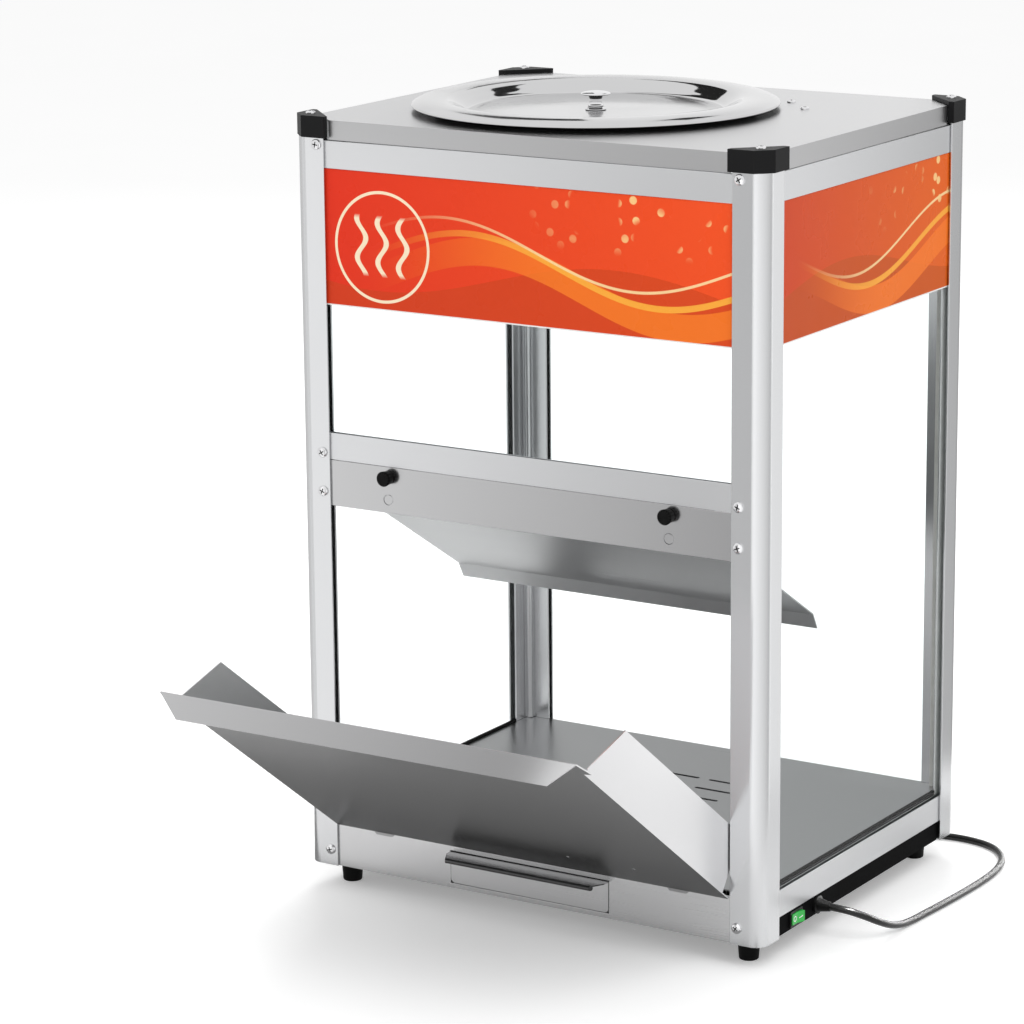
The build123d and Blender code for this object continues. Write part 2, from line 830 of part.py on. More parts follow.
# ---------------------------------------------------------------- base, floor and drawer
def front_panel():
    half = rail_length(cabinet_width) / 2
    panel = block(-half, half, panel_face, panel_face + sheet, base, panel_top)
    opening = drawer_width / 2 + drawer_gap
    z0 = base + drawer_bottom - drawer_gap
    z1 = base + drawer_bottom + drawer_front_height + drawer_gap
    panel -= block(-opening, opening, panel_face - 1, panel_face + sheet + 1, z0, z1)
    for x in (-half_w + screw_inset, half_w - screw_inset):
        panel -= screw_hole(x, front_screw_places[3], panel_face - 1, panel_face + sheet + 1)
    return panel


def base_pan():
    """Tray that closes the bottom, turned up at both sides and at the rear."""
    inner_x = half_w - post_depth - corner_gap
    inner_y = half_d - post_depth - corner_gap
    notch = screw_port + screw_port_radius - post_depth
    clear_x = half_w - post_flange - corner_gap
    clear_y = half_d - post_flange - corner_gap
    rear = half_d - top_skirt_setback
    front = panel_face + sheet + seat_gap
    pan = block(-inner_x, inner_x, -inner_y, inner_y, base, base + sheet)
    pan += block(-side_face, side_face, -clear_y, clear_y, base, base + sheet)
    pan += block(-clear_x, clear_x, front, rear, base, base + sheet)
    for x in (-inner_x, inner_x):
        for y in (-inner_y, inner_y):
            pan -= Pos(x, y, base) * Box(2 * notch, 2 * notch, 4 * sheet)
    reach_y = half_d - slot_root - 1
    reach_x = half_w - slot_root - 1
    top = base + base_panel_height
    for sign in (-1, 1):
        x0, x1 = sorted((sign * side_face, sign * (side_face - sheet)))
        pan += block(x0, x1, -clear_y, clear_y, base, top)
        pan += block(x0, x1, -reach_y, reach_y, base + sheet, top)
    pan += block(-clear_x, clear_x, rear - sheet, rear, base, top)
    pan += block(-reach_x, reach_x, rear - sheet, rear, base + sheet, top)
    for x in (-foot_x, foot_x):
        for y in (-foot_y, foot_y):
            pan -= rod(foot_bolt_radius + hole_gap, (x, y, base - 1), (x, y, base + sheet + 1))
    x0, x1 = side_face - 2 * sheet, side_face + sheet
    half_long = switch_body_length / 2 + hole_gap
    half_high = switch_body_width / 2 + hole_gap
    pan -= block(
        x0, x1, switch_y - half_long, switch_y + half_long, switch_z - half_high, switch_z + half_high
    )
    pan -= rod(gland_waist_radius + gland_hole_gap, (x0, gland_y, gland_z), (x1, gland_y, gland_z))
    middle = (heater_inner + heater_outer) / 2
    for x in (-middle, middle):
        for y in vent_places:
            pan -= Pos(x, y, base) * extrude(SlotOverall(vent_length, vent_width), 3 * sheet, both=True)
    return pan


def floor_plate():
    """Slotted floor of the bin, standing on two folded legs."""
    half = half_w - window_setback - window_thickness - floor_gap
    front = panel_face + sheet + floor_front_gap
    rear = half_d - window_setback - window_thickness - floor_gap
    clear_x = half_w - post_flange - corner_gap
    clear_y = half_d - post_flange - corner_gap
    inner_x = half_w - post_depth - floor_gap
    inner_y = half_d - post_depth - floor_gap
    notch = screw_port + screw_port_radius - post_depth
    z0, z1 = floor_top - sheet, floor_top
    plate = block(-inner_x, inner_x, -inner_y, inner_y, z0, z1)
    plate += block(-half, half, -clear_y, clear_y, z0, z1)
    plate += block(-clear_x, clear_x, front, rear, z0, z1)
    for x in (-inner_x, inner_x):
        for y in (-inner_y, inner_y):
            plate -= Pos(x, y, z1) * Box(2 * notch, 2 * notch, 4 * sheet)
    for sign in (-1, 1):
        x0, x1 = sorted((sign * floor_leg, sign * (floor_leg + sheet)))
        plate += block(x0, x1, front, rear - floor_leg_clear, base + sheet, z1)
    for column in (-1, 0, 1):
        for row in range(crumb_slot_rows):
            y = (row - (crumb_slot_rows - 1) / 2) * crumb_slot_pitch + crumb_slot_middle
            slot = extrude(SlotOverall(crumb_slot_length, crumb_slot_width), 3 * sheet, both=True)
            plate -= Pos(column * crumb_column_pitch, y, floor_top) * slot
    return plate - Pos(lead_x, lead_y, z1) * Cylinder(lead_radius + 0.6, 4 * sheet)


def floor_seal():
    """Black strip along the left edge of the floor, against the window."""
    x = -half_w + window_setback + window_thickness + panel_gap
    reach = half_d - post_flange - 2 * corner_gap
    return block(x, x + seal_size, -reach, reach, floor_top, floor_top + seal_size)


def runner():
    """Folded runner under the left side of the drawer."""
    web, foot = runner_web, runner_side
    shelf = web - runner_ledge
    z = base + sheet
    top = z + runner_height
    ledge = base + drawer_bottom + panel_gap - hinge_gap
    points = [
        (-foot, z), (-foot, z + sheet), (-web - sheet, z + sheet), (-web - sheet, top), (-web, top),
        (-web, ledge), (-shelf, ledge), (-shelf, ledge - sheet), (-web, ledge - sheet), (-web, z),
    ]
    rear = panel_face + sheet + runner_setback + runner_length
    return profile(Plane(origin=(0, rear, 0), x_dir=(1, 0, 0), z_dir=(0, -1, 0)), points, runner_length)


def drawer_tray():
    half = drawer_width / 2 - tray_inset
    y0 = panel_face + sheet + panel_gap
    z0 = base + drawer_bottom + panel_gap
    z1 = z0 + drawer_tray_height
    w = drawer_wall
    tray = block(-half, half, y0, y0 + drawer_depth, z0, z1)
    tray -= block(-half + w, half - w, y0 + w, y0 + drawer_depth - w, z0 + w, z1 + 1)
    return tray


def drawer_front():
    """Front plate with its top edge folded out into a hemmed pull."""
    half = drawer_width / 2
    z0 = base + drawer_bottom
    z1 = z0 + drawer_front_height
    plate = block(-half, half, panel_face, panel_face + sheet, z0, z1)
    lower = plate.edges().filter_by(Axis.Y).group_by(Axis.Z)[0]
    plate = fillet(lower, drawer_corner)
    reach = panel_face - drawer_pull_reach
    hem = drawer_pull_hem
    ledge = block(-half, half, reach + hem, panel_face + sheet, z1 - drawer_wall, z1)
    roll = rod(hem, (-half, reach + hem, z1 - hem), (half, reach + hem, z1 - hem))
    pull = ledge + roll
    for sign in (-1, 1):
        side, inner = sign * (half + 1), sign * (half - drawer_pull_cut)
        corner = [(side, panel_face - 5), (side, reach - 1), (inner, reach - 1)]
        pull -= profile(Plane((0, 0, z1 - 3 * hem)), corner, 6 * hem)
    return plate + pull


def foot():
    """Tapered rubber foot, bored for its screw, with a pocket for the head."""
    r = foot_tip_rounding
    outline = make_face(
        [
            Line((0, 0), (foot_tip_radius - r, 0)),
            RadiusArc((foot_tip_radius - r, 0), (foot_tip_radius, r), -r),
            Line((foot_tip_radius, r), (foot_radius, foot_height)),
            Line((foot_radius, foot_height), (0, foot_height)),
            Line((0, foot_height), (0, 0)),
        ]
    )
    body = revolve(Plane.XZ * outline, Axis.Z)
    body -= Cylinder(foot_head_radius + foot_pocket_gap, 2 * foot_pocket_depth)
    body -= Pos(0, 0, foot_height / 2) * Cylinder(foot_bolt_radius + hole_gap, foot_height + 2)
    return body


def foot_screw():
    length = foot_height - foot_pocket_depth + sheet + foot_screw_spare
    screw = pan_screw(foot_head_radius, foot_head_height, foot_bolt_radius, length)
    return Pos(0, 0, foot_pocket_depth) * Rot(180, 0, 0) * screw


def at_feet(shape):
    return [Pos(x, y, 0) * shape for x in (-foot_x, foot_x) for y in (-foot_y, foot_y)]


def heater(sign):
    """Sheathed element bent into a U, lying either side of the drawer."""
    z = base + heater_height
    r = (heater_outer - heater_inner) / 2
    y = heater_reach - r
    middle = (heater_inner + heater_outer) / 2
    near, far = (heater_inner, -y, z), (heater_outer, -y, z)
    path = Wire(
        [
            Edge.make_line((heater_inner, heater_reach, z), near),
            Edge.make_three_point_arc(near, (middle, -heater_reach, z), far),
            Edge.make_line(far, (heater_outer, heater_reach, z)),
        ]
    )
    start = Plane(origin=(heater_inner, heater_reach, z), z_dir=(0, -1, 0))
    tube = sweep(start * Circle(heater_radius), path=path)
    return tube if sign > 0 else mirror_x(tube)


def heater_support(sign, y):
    """Upright plate with two cradles for the element and a foot on the pan."""
    z = base + heater_height
    x0, x1 = heater_inner - heater_support_margin, heater_outer + heater_support_margin
    plate = block(x0, x1, y, y + sheet, base + sheet, z)
    plate += block(x0, x1, y, y + heater_support_foot, base + sheet, base + 2 * sheet)
    for x in (heater_inner, heater_outer):
        plate -= rod(heater_radius + cradle_gap, (x, y - 1, z), (x, y + 2 * sheet, z))
    return plate if sign > 0 else mirror_x(plate)


def terminal_block():
    """Block with one screw well for each lead."""
    length, width, height = terminal_size
    z = base + sheet
    body = block(
        terminal_x - width / 2, terminal_x + width / 2,
        terminal_y - length / 2, terminal_y + length / 2, z, z + height,
    )
    for step in (-1, 0, 1):
        y = terminal_y + step * length / 3
        body -= Pos(terminal_x, y, z + height) * Cylinder(terminal_well_radius, height)
    return body


def thermostat():
    length, width, height = thermostat_size
    z = base + sheet
    body = block(
        terminal_x - width / 2, terminal_x + width / 2,
        thermostat_y - length / 2, thermostat_y + length / 2, z, z + height,
    )
    return body + Pos(terminal_x, thermostat_y, z + height + 2) * Cylinder(width / 3, 4.0)


def wire(points):
    """An insulated lead with a bend at each inner point."""
    path = FilletPolyline(*points, radius=5.0) if len(points) > 2 else Polyline(*points)
    start = Plane(origin=path @ 0, z_dir=path % 0)
    return sweep(start * Circle(lead_radius), path=path)


def lamp_lead_cover():
    """Folded angle that boxes in the rear right corner above the floor."""
    x1 = half_w - post_depth - seat_gap
    y1 = half_d - post_depth - seat_gap
    x0 = half_w - post_depth - cover_width
    y0 = half_d - post_depth - cover_depth
    z0, z1 = floor_top + seat_gap, lamp_lead_z - lead_corner_fall - 2 * lead_radius
    return block(x0, x1, y0, y0 + cover_wall, z0, z1) + block(x0, x0 + cover_wall, y0, y1, z0, z1)


def lamp_lead():
    """From the lamp holder along the top, down the corner and forward to the thermostat."""
    diagonal = (lamp_holder_radius + hinge_gap) * math.sqrt(0.5)
    high = lamp_lead_z
    low = base + sheet + terminal_size[2] / 2
    rear = thermostat_y + thermostat_size[0] / 2
    return wire([
        (lamp_x + diagonal, lamp_y + diagonal, high),
        (lead_x - 8, lead_y - cover_depth - 4, high),
        (lead_x, lead_y, high - lead_corner_fall),
        (lead_x, lead_y, low),
        (terminal_x, rear + 12, low),
        (terminal_x, rear, low),
    ])


def inner_wires():
    """Leads from the switch and the gland to the terminals, and on to the thermostat."""
    z = base + sheet + terminal_size[2] / 2
    switch_end = side_face - switch_body_depth
    gland_end = side_face - gland_inner_length
    terminal_front = terminal_y - terminal_size[0] / 2
    terminal_rear = terminal_y + terminal_size[0] / 2
    thermostat_front = thermostat_y - thermostat_size[0] / 2
    left, right = terminal_x - wire_spread, terminal_x + wire_spread
    return [
        wire([
            (switch_end, switch_y, switch_z), (left, switch_y, switch_z),
            (left, switch_y + 20, z), (left, terminal_front, z),
        ]),
        wire([
            (gland_end, gland_y, gland_z), (right, gland_y, gland_z), (right, gland_y + 15, z),
            (right, terminal_front, z),
        ]),
        wire([(left, terminal_rear, z), (left, thermostat_front, z)]),
        wire([(right, terminal_rear, z), (right, thermostat_front, z)]),
        lamp_lead(),
    ]


def base_parts():
    nodes["front_panel"] = front_panel()
    nodes["base_pan"] = base_pan()
    nodes["floor_plate"] = floor_plate()
    nodes["floor_seals"] = [floor_seal(), mirror_x(floor_seal())]
    nodes["drawer_runners"] = [runner(), mirror_x(runner())]
    nodes["drawer_tray"] = drawer_tray()
    nodes["drawer_front"] = drawer_front()
    nodes["feet"] = at_feet(foot())
    nodes["foot_screws"] = at_feet(foot_screw())
    nodes["foot_nuts"] = at_feet(
        Pos(0, 0, base + sheet)
        * hex_nut(foot_nut_width, foot_nut_height, foot_bolt_radius + running_gap)
    )
    nodes["heating_elements"] = [heater(-1), heater(1)]
    nodes["heater_supports"] = [
        heater_support(sign, y) for sign in (-1, 1) for y in heater_support_places
    ]
    nodes["terminal_block"] = terminal_block()
    nodes["thermostat"] = thermostat()
    nodes["inner_wires"] = inner_wires()
    nodes["lamp_lead_cover"] = lamp_lead_cover()


# ---------------------------------------------------------------- switch
def on_right(y, z):
    """Plane on the right of the base: normal outwards, local x towards the rear."""
    return Plane(origin=(side_face, y, z), x_dir=(0, 1, 0), z_dir=(1, 0, 0))


def switch_housing():
    bezel = extrude(RectangleRounded(bezel_length, bezel_width, 1.6), bezel_proud)
    body = Box(switch_body_length, switch_body_width, switch_body_depth)
    body = Pos(0, 0, -switch_body_depth / 2) * body
    deep = rocker_depth + 3.4
    long, wide = rocker_length + 2 * pocket_gap_long, rocker_width + 2 * pocket_gap_side
    pocket = block(-long / 2, long / 2, -wide / 2, wide / 2, -deep, 2 * bezel_proud)
    housing = bezel + body - pocket
    reach = rocker_width / 2 + rocker_pin_reach + hole_gap
    start, end = (0, -reach, rocker_pivot), (0, reach, rocker_pivot)
    return on_right(switch_y, switch_z) * (housing - rod(rocker_pin_radius + running_gap, start, end))


def rocker():
    """Valley-topped actuator; at rest its front half is pressed in."""
    end = rocker_middle + rocker_length / 2 * math.tan(math.radians(rocker_tilt))
    half = rocker_length / 2
    inner = half - rocker_draft
    outline = [
        (-half, end), (0, rocker_middle), (half, end), (inner, -rocker_depth), (-inner, -rocker_depth),
    ]
    plane = Plane(origin=(0, rocker_width / 2, 0), x_dir=(1, 0, 0), z_dir=(0, -1, 0))
    body = profile(plane, outline, rocker_width)
    reach = rocker_width / 2 + rocker_pin_reach
    body += rod(rocker_pin_radius, (0, -reach, 0), (0, reach, 0))
    body = Rot(0, -rocker_tilt, 0) * body
    return on_right(switch_y, switch_z) * (Pos(0, 0, rocker_pivot) * body)


def switch():
    nodes["switch_housing"] = switch_housing()
    nodes["rocker"] = rocker()


# ---------------------------------------------------------------- mains cord
def cord_route():
    """Free stretch: out of the gland, down to the counter, round the rear corner to the coil."""
    r = cord_diameter / 2
    start = side_face + gland_reach
    lay_y = coil_y - coil_outer_radius
    return [
        (start, gland_y, gland_z),
        (start + 14, gland_y, gland_z),
        (start + 28, gland_y + 8, gland_z - 5.5),
        (start + 36.5, gland_y + 22, gland_z - 14),
        (start + 40, gland_y + 40, gland_z - 22),
        (start + 42, gland_y + 62, r),
        (start + 44.5, gland_y + 96, r),
        (start + 48, gland_y + 140, r),
        (start + 50, gland_y + 190, r),
        (start + 48.5, gland_y + 230, r),
        (start + 38, gland_y + 266, r),
        (start + 15, gland_y + 290, r),
        (start - 18, gland_y + 297, r),
        (start - 50, gland_y + 292, r),
        (start - 84, gland_y + 283, r + 0.1),
        (start - 124, gland_y + 279, r + 0.4),
        (start - 163, lay_y + 0.6, coil_z - 0.1),
        (coil_x + cord_diameter + 18, lay_y, coil_z),
        (coil_x + cord_diameter, lay_y, coil_z),
    ]


def bend_radii(points):
    """As large as the two runs at each corner allow."""
    radii = []
    for a, b, c in zip(points, points[1:], points[2:]):
        before = Vector(*b) - Vector(*a)
        after = Vector(*c) - Vector(*b)
        turn = math.radians(before.get_angle(after))
        radii.append(0.45 * min(before.length, after.length) / math.tan(turn / 2))
    return radii


def tube(path, radius):
    start = Plane(origin=path @ 0, z_dir=path % 0)
    return sweep(start * Circle(radius), path=path)


def free_cord():
    points = cord_route()
    radii = bend_radii(points)
    path = FilletPolyline(*points, radius=radii)
    solid = tube(path, cord_diameter / 2)
    expected = math.pi * (cord_diameter / 2) ** 2 * path.length
    print("cord radii", [round(radius, 1) for radius in radii])
    print("cord length", round(path.length, 1), "volume", round(solid.volume / expected, 4))
    return solid, path.length


def coil_edges():
    """Half-turn arcs, in on the lower layer, up in one half turn, out on the upper layer."""
    pitch = coil_layer
    edges = []
    point = Vector(coil_x, coil_y - coil_outer_radius, coil_z)
    heading = Vector(-1, 0, 0)
    side = 1
    radius = coil_outer_radius

    def turn(step, climb):
        nonlocal point, heading, side
        end = Vector(point.X, point.Y + side * 2 * step, point.Z + climb)
        if climb:
            lean = math.hypot(step, climb / 2)
            middle = Vector(point.X - side * lean, point.Y + side * step, point.Z + climb / 2)
            first = TangentArc(point, middle, tangent=heading)
            second = TangentArc(middle, end, tangent=first % 1)
            edges.extend([first, second])
        else:
            edges.append(TangentArc(point, end, tangent=heading))
        point = end
        heading = heading * -1
        side = -side

    for _ in range(coil_half_turns):
        turn(radius, 0)
        radius -= pitch / 2
    turn(radius, coil_layer)
    for _ in range(coil_half_turns):
        radius += pitch / 2
        turn(radius, 0)
    edges.insert(0, Line(edges[0] @ 0 + Vector(cord_diameter, 0, 0), edges[0] @ 0))
    edges.append(Line(point, point + heading * cord_lead_out))
    return edges


def coil():
    edges = coil_edges()
    path = Wire(edges)
    samples = [path @ (i / 900) for i in range(901)]
    near = int(900 * 2 * cord_diameter / path.length) + 4
    least = min(
        (samples[i] - samples[j]).length
        for i in range(0, 901, 3)
        for j in range(i + near, 901)
    )
    print("coil length", round(path.length, 1), "least gap", round(least - cord_diameter, 2))
    solid = tube(path, cord_diameter / 2)
    expected = math.pi * (cord_diameter / 2) ** 2 * path.length
    print("coil volume", round(solid.volume / expected, 4))
    return solid, path @ 1, path.length


def coil_tie():
    """Flat band round the turns on the right of the coil."""
    pitch = coil_layer
    outer = coil_outer_radius - pitch / 2
    inner = outer - (coil_half_turns / 2 - 1) * pitch
    x0 = coil_x + inner - cord_diameter / 2 - tie_side_gap
    x1 = coil_x + outer + cord_diameter / 2 + tie_gap
    z0 = coil_lift - tie_gap
    z1 = coil_z + coil_layer + cord_diameter / 2 + tie_gap
    y = coil_y
    t = tie_thickness
    band = block(x0 - t, x1 + t, y - tie_width / 2, y + tie_width / 2, z0 - t, z1 + t)
    return band - block(x0, x1, y - tie_width, y + tie_width, z0, z1)


def plug(end):
    """Moulded three-pin plug with a tapered relief, lying beyond the coil's last turn."""
    x, y, z = end.X, end.Y, end.Z
    plane = Plane(origin=(x, y, z), x_dir=(0, 1, 0), z_dir=(1, 0, 0))
    thin = plane * Circle(cord_diameter / 2 + gland_wall / 2)
    thick = plane.offset(plug_relief) * Circle(plug_relief_radius)
    relief = loft([thin, thick], ruled=True)
    face = RectangleRounded(plug_width, 2 * (z - plug_clearance), plug_corner)
    body = extrude(plane.offset(plug_relief) * face, plug_length)
    front = x + plug_relief + plug_length
    pins = []
    for side in (-1, 1):
        y0 = y + side * pin_spacing / 2 - pin_thickness / 2
        y1 = y0 + pin_thickness
        pins.append(block(front, front + pin_length, y0, y1, z - pin_width / 2, z + pin_width / 2))
    low = z - earth_pin_drop
    pins.append(rod(earth_pin_radius, (front, y, low), (front + earth_pin_length, y, low)))
    return relief + body, pins


def cord_gland():
    """Moulded bush: outer flange, waist in the panel, tapered sleeve."""
    waist = gland_waist_radius
    flange = gland_flange_radius
    high = gland_flange_height
    tip = cord_diameter / 2 + gland_wall
    outline = make_face(
        [
            Line((0, -gland_inner_length), (waist, -gland_inner_length)),
            Line((waist, -gland_inner_length), (waist, 0)),
            Line((waist, 0), (flange, 0)),
            Line((flange, 0), (flange, high)),
            Line((flange, high), (waist, 1.25 * high)),
            Line((waist, 1.25 * high), (tip, gland_reach)),
            Line((tip, gland_reach), (0, gland_reach)),
            Line((0, gland_reach), (0, -gland_inner_length)),
        ]
    )
    return on_right(gland_y, gland_z) * revolve(Plane.XZ * outline, Axis.Z)


def mains_cord():
    nodes["cord_gland"] = cord_gland()
    nodes["cord"], free_length = free_cord()
    nodes["cord_coil"], end, coil_length = coil()
    nodes["cord_tie"] = coil_tie()
    nodes["plug_body"], nodes["plug_pins"] = plug(end)
    print("whole cord", round(free_length + coil_length))


# ---------------------------------------------------------------- lamp over the hopper
def lamp_screw_points():
    turn = math.radians(lamp_turn)
    half = lamp_screw_spacing / 2
    return [
        (lamp_x + s * half * math.cos(turn), lamp_y + s * half * math.sin(turn)) for s in (-1, 1)
    ]


def lamp_bracket():
    """Hat-shaped strip that hangs the lamp holder under the top."""
    half = lamp_screw_spacing / 2
    end = half + lamp_bracket_ear
    bend = half - lamp_bracket_bend
    t = sheet
    low = -lamp_drop
    points = [
        (-end, 0), (-end, -t), (-bend, -t), (-bend, low - t), (bend, low - t), (bend, -t), (end, -t),
        (end, 0), (bend - t, 0), (bend - t, low), (-bend + t, low), (-bend + t, 0),
    ]
    plane = Plane(origin=(0, lamp_bracket_width / 2, 0), x_dir=(1, 0, 0), z_dir=(0, -1, 0))
    bracket = profile(plane, points, lamp_bracket_width)
    for x in (-half, half):
        bracket -= Pos(x, 0, -t / 2) * Cylinder(screw_radius + hole_gap, 3 * t)
    return lamp_place(bracket)


def lamp_place(shape):
    return Pos(lamp_x, lamp_y, top_z - top_sheet) * (Rot(0, 0, lamp_turn) * shape)


def lamp():
    nodes["lamp_bracket"] = lamp_bracket()
    screw = pan_screw(lamp_screw_radius, lamp_screw_height, screw_radius, lamp_screw_length)
    half = lamp_screw_spacing / 2
    nodes["lamp_screws"] = [lamp_place(Pos(x, 0, top_sheet) * screw) for x in (-half, half)]
    under = -lamp_drop - sheet
    r = lamp_holder_radius
    h = lamp_holder_height
    holder = Pos(0, 0, under - h / 2) * Cylinder(r, h)
    socket = Cylinder(bulb_cap_radius + bulb_cap_gap, 2 * (h - lamp_holder_roof))
    holder -= Pos(0, 0, under - h) * socket
    nodes["lamp_holder"] = lamp_place(holder)
    cap = bulb_cap_radius
    outline = make_face(
        [
            Line((0, 0), (cap, 0)),
            Line((cap, 0), (cap, -bulb_neck)),
            Spline(
                (cap, -bulb_neck), (cap + 3.5, -bulb_neck - 9), (bulb_radius, -bulb_length + bulb_radius),
                (0, -bulb_length), tangents=((0, -1), (-1, 0)),
            ),
            Line((0, -bulb_length), (0, 0)),
        ]
    )
    bulb = revolve(Plane.XZ * outline, Axis.Z)
    nodes["lamp_bulb"] = lamp_place(Pos(0, 0, under - bulb_seat) * bulb)


# ---------------------------------------------------------------- everything together
def write():
    """Move the origin to the middle of the footprint and write one file per piece."""
    cord_nodes = ("cord_gland", "cord", "cord_coil", "cord_tie", "plug_body", "plug_pins")
    solids = [
        solid
        for name, shape in nodes.items()
        if name not in cord_nodes
        for solid in (shape if isinstance(shape, list) else [shape])
    ]
    boxes = [solid.bounding_box() for solid in solids]
    shift_x = -(min(b.min.X for b in boxes) + max(b.max.X for b in boxes)) / 2
    shift_y = -(min(b.min.Y for b in boxes) + max(b.max.Y for b in boxes)) / 2
    print("moved by", round(shift_x, 3), round(shift_y, 3))
    print("hinge line", round(hinge_y + shift_y, 3), round(hinge_z, 3))
    os.makedirs("parts", exist_ok=True)
    for name, shape in nodes.items():
        pieces = shape if isinstance(shape, list) else [shape]
        moved = [Pos(shift_x, shift_y, 0) * piece for piece in pieces]
        body = moved[0] if len(moved) == 1 else Compound(children=moved)
        body.label = name
        export_step(body, os.path.join("parts", name + ".step"))


frame()
windows()
nodes["post_screws"] = post_screws(front_screw_places)
nodes["post_screws"] += [mirror_y(screw) for screw in post_screws(rear_screw_places)]
top_and_lid()
apron_and_baffle()
nodes["serving_door"] = door()
base_parts()
switch()
mains_cord()
lamp()
write()
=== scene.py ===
"""Chip warmer: the finishes, print, glazing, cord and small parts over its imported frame."""
import json
import math

import bmesh
import bpy
from bpy.props import FloatProperty, FloatVectorProperty, IntProperty, PointerProperty
from mathutils import Matrix, Vector
from mathutils.geometry import interpolate_bezier


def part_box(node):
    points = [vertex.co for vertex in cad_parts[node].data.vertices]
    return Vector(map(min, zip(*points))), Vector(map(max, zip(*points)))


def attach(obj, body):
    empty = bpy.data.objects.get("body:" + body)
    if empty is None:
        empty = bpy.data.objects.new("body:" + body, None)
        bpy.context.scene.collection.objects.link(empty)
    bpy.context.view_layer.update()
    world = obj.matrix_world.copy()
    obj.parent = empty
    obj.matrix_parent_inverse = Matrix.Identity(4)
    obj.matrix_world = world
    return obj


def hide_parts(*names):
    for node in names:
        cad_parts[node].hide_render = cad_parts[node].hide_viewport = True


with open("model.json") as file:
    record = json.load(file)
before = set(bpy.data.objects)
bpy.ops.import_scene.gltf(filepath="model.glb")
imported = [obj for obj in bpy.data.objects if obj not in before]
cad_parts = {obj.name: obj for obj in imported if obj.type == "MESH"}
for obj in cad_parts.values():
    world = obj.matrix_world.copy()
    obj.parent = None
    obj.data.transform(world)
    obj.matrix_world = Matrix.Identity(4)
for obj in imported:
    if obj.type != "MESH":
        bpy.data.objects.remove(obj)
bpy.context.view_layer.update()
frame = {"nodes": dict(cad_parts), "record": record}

bl_info = {
    "name": "Chip warmer",
    "version": (1, 0, 0),
    "blender": (4, 5, 0),
    "location": "3D View > Sidebar > Warmer",
    "description": "Dresses a counter-top chip warmer: metal, print, glazing, cord and fasteners",
    "category": "Object",
}

NODES = frame["nodes"]
BODIES = frame["record"]["behaviour"]["bodies"]
MM = 0.001

# where the frame puts the cabinet and its lid
POST_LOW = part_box("post_front_left")[0]
FRONT, BASE = POST_LOW.y, POST_LOW.z
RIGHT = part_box("post_front_right")[1].x
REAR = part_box("post_rear_left")[1].y
MIDDLE_Y = (FRONT + REAR) / 2
LID_LOW, LID_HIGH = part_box("lid_dish")
LID_X = (LID_LOW.x + LID_HIGH.x) / 2
LID_Y = (LID_LOW.y + LID_HIGH.y) / 2


# ---------------------------------------------------------------- sizes and colours to change
class WarmerStage(bpy.types.PropertyGroup):
    """Where the picture is taken from, and how it is lit."""

    camera_place: FloatVectorProperty(
        name="Camera place", description="Where the lens stands", default=(1.71276, -2.79378, 1.1499),
        subtype="TRANSLATION", unit="LENGTH",
    )
    camera_azimuth: FloatProperty(
        name="Azimuth", description="Turn of the view to the right of the front",
        default=math.radians(32.2205), subtype="ANGLE",
    )
    camera_elevation: FloatProperty(
        name="Elevation", description="Height of the view above level", default=math.radians(13.5901),
        subtype="ANGLE",
    )
    camera_roll: FloatProperty(
        name="Roll", description="Tilt of the picture", default=math.radians(-0.551), subtype="ANGLE",
    )
    lens: FloatProperty(name="Lens", description="Focal length, in millimetres", default=138.38, min=1)
    world_level: FloatProperty(
        name="World", description="Even light from all round", default=0.72, min=0,
    )
    key_power: FloatProperty(name="Key", description="Power of the large soft lamp", default=30, min=0)
    gloss_power: FloatProperty(
        name="Gloss", description="Power of the lamps that put streaks on the cord", default=420, min=0,
    )
    floor_colour: FloatVectorProperty(
        name="Floor", description="Colour of the floor", default=(0.9, 0.9, 0.9), subtype="COLOR",
        min=0, max=1,
    )
    floor_lift: FloatProperty(
        name="Floor lift", description="What the seen floor adds to its own light", default=0.3, min=0,
    )
    mirror_lift: FloatProperty(
        name="Mirrored lift", description="What the floor adds where metal mirrors it", default=0.15, min=0,
    )


class WarmerFinish(bpy.types.PropertyGroup):
    """Colours and roughness of the finishes."""

    aluminium: FloatVectorProperty(
        name="Aluminium", description="Satin anodised posts and rails", default=(0.66, 0.665, 0.675),
        subtype="COLOR", min=0, max=1,
    )
    stainless: FloatVectorProperty(
        name="Stainless", description="Brushed sheet", default=(0.53, 0.53, 0.535),
        subtype="COLOR", min=0, max=1,
    )
    polished: FloatVectorProperty(
        name="Polished", description="Spun lid and its knob", default=(0.62, 0.62, 0.625),
        subtype="COLOR", min=0, max=1,
    )
    print_left: FloatVectorProperty(
        name="Print, left", description="Front banner at its left end", default=(0.74, 0.033, 0.013),
        subtype="COLOR", min=0, max=1,
    )
    print_right: FloatVectorProperty(
        name="Print, right", description="Front banner at its right end", default=(0.89, 0.090, 0.018),
        subtype="COLOR", min=0, max=1,
    )
    print_light: FloatVectorProperty(
        name="Print, light", description="Pale shapes on the banners", default=(0.94, 0.78, 0.55),
        subtype="COLOR", min=0, max=1,
    )
    switch_green: FloatVectorProperty(
        name="Rocker", description="Moulded rocker of the switch", default=(0.02, 0.46, 0.06),
        subtype="COLOR", min=0, max=1,
    )


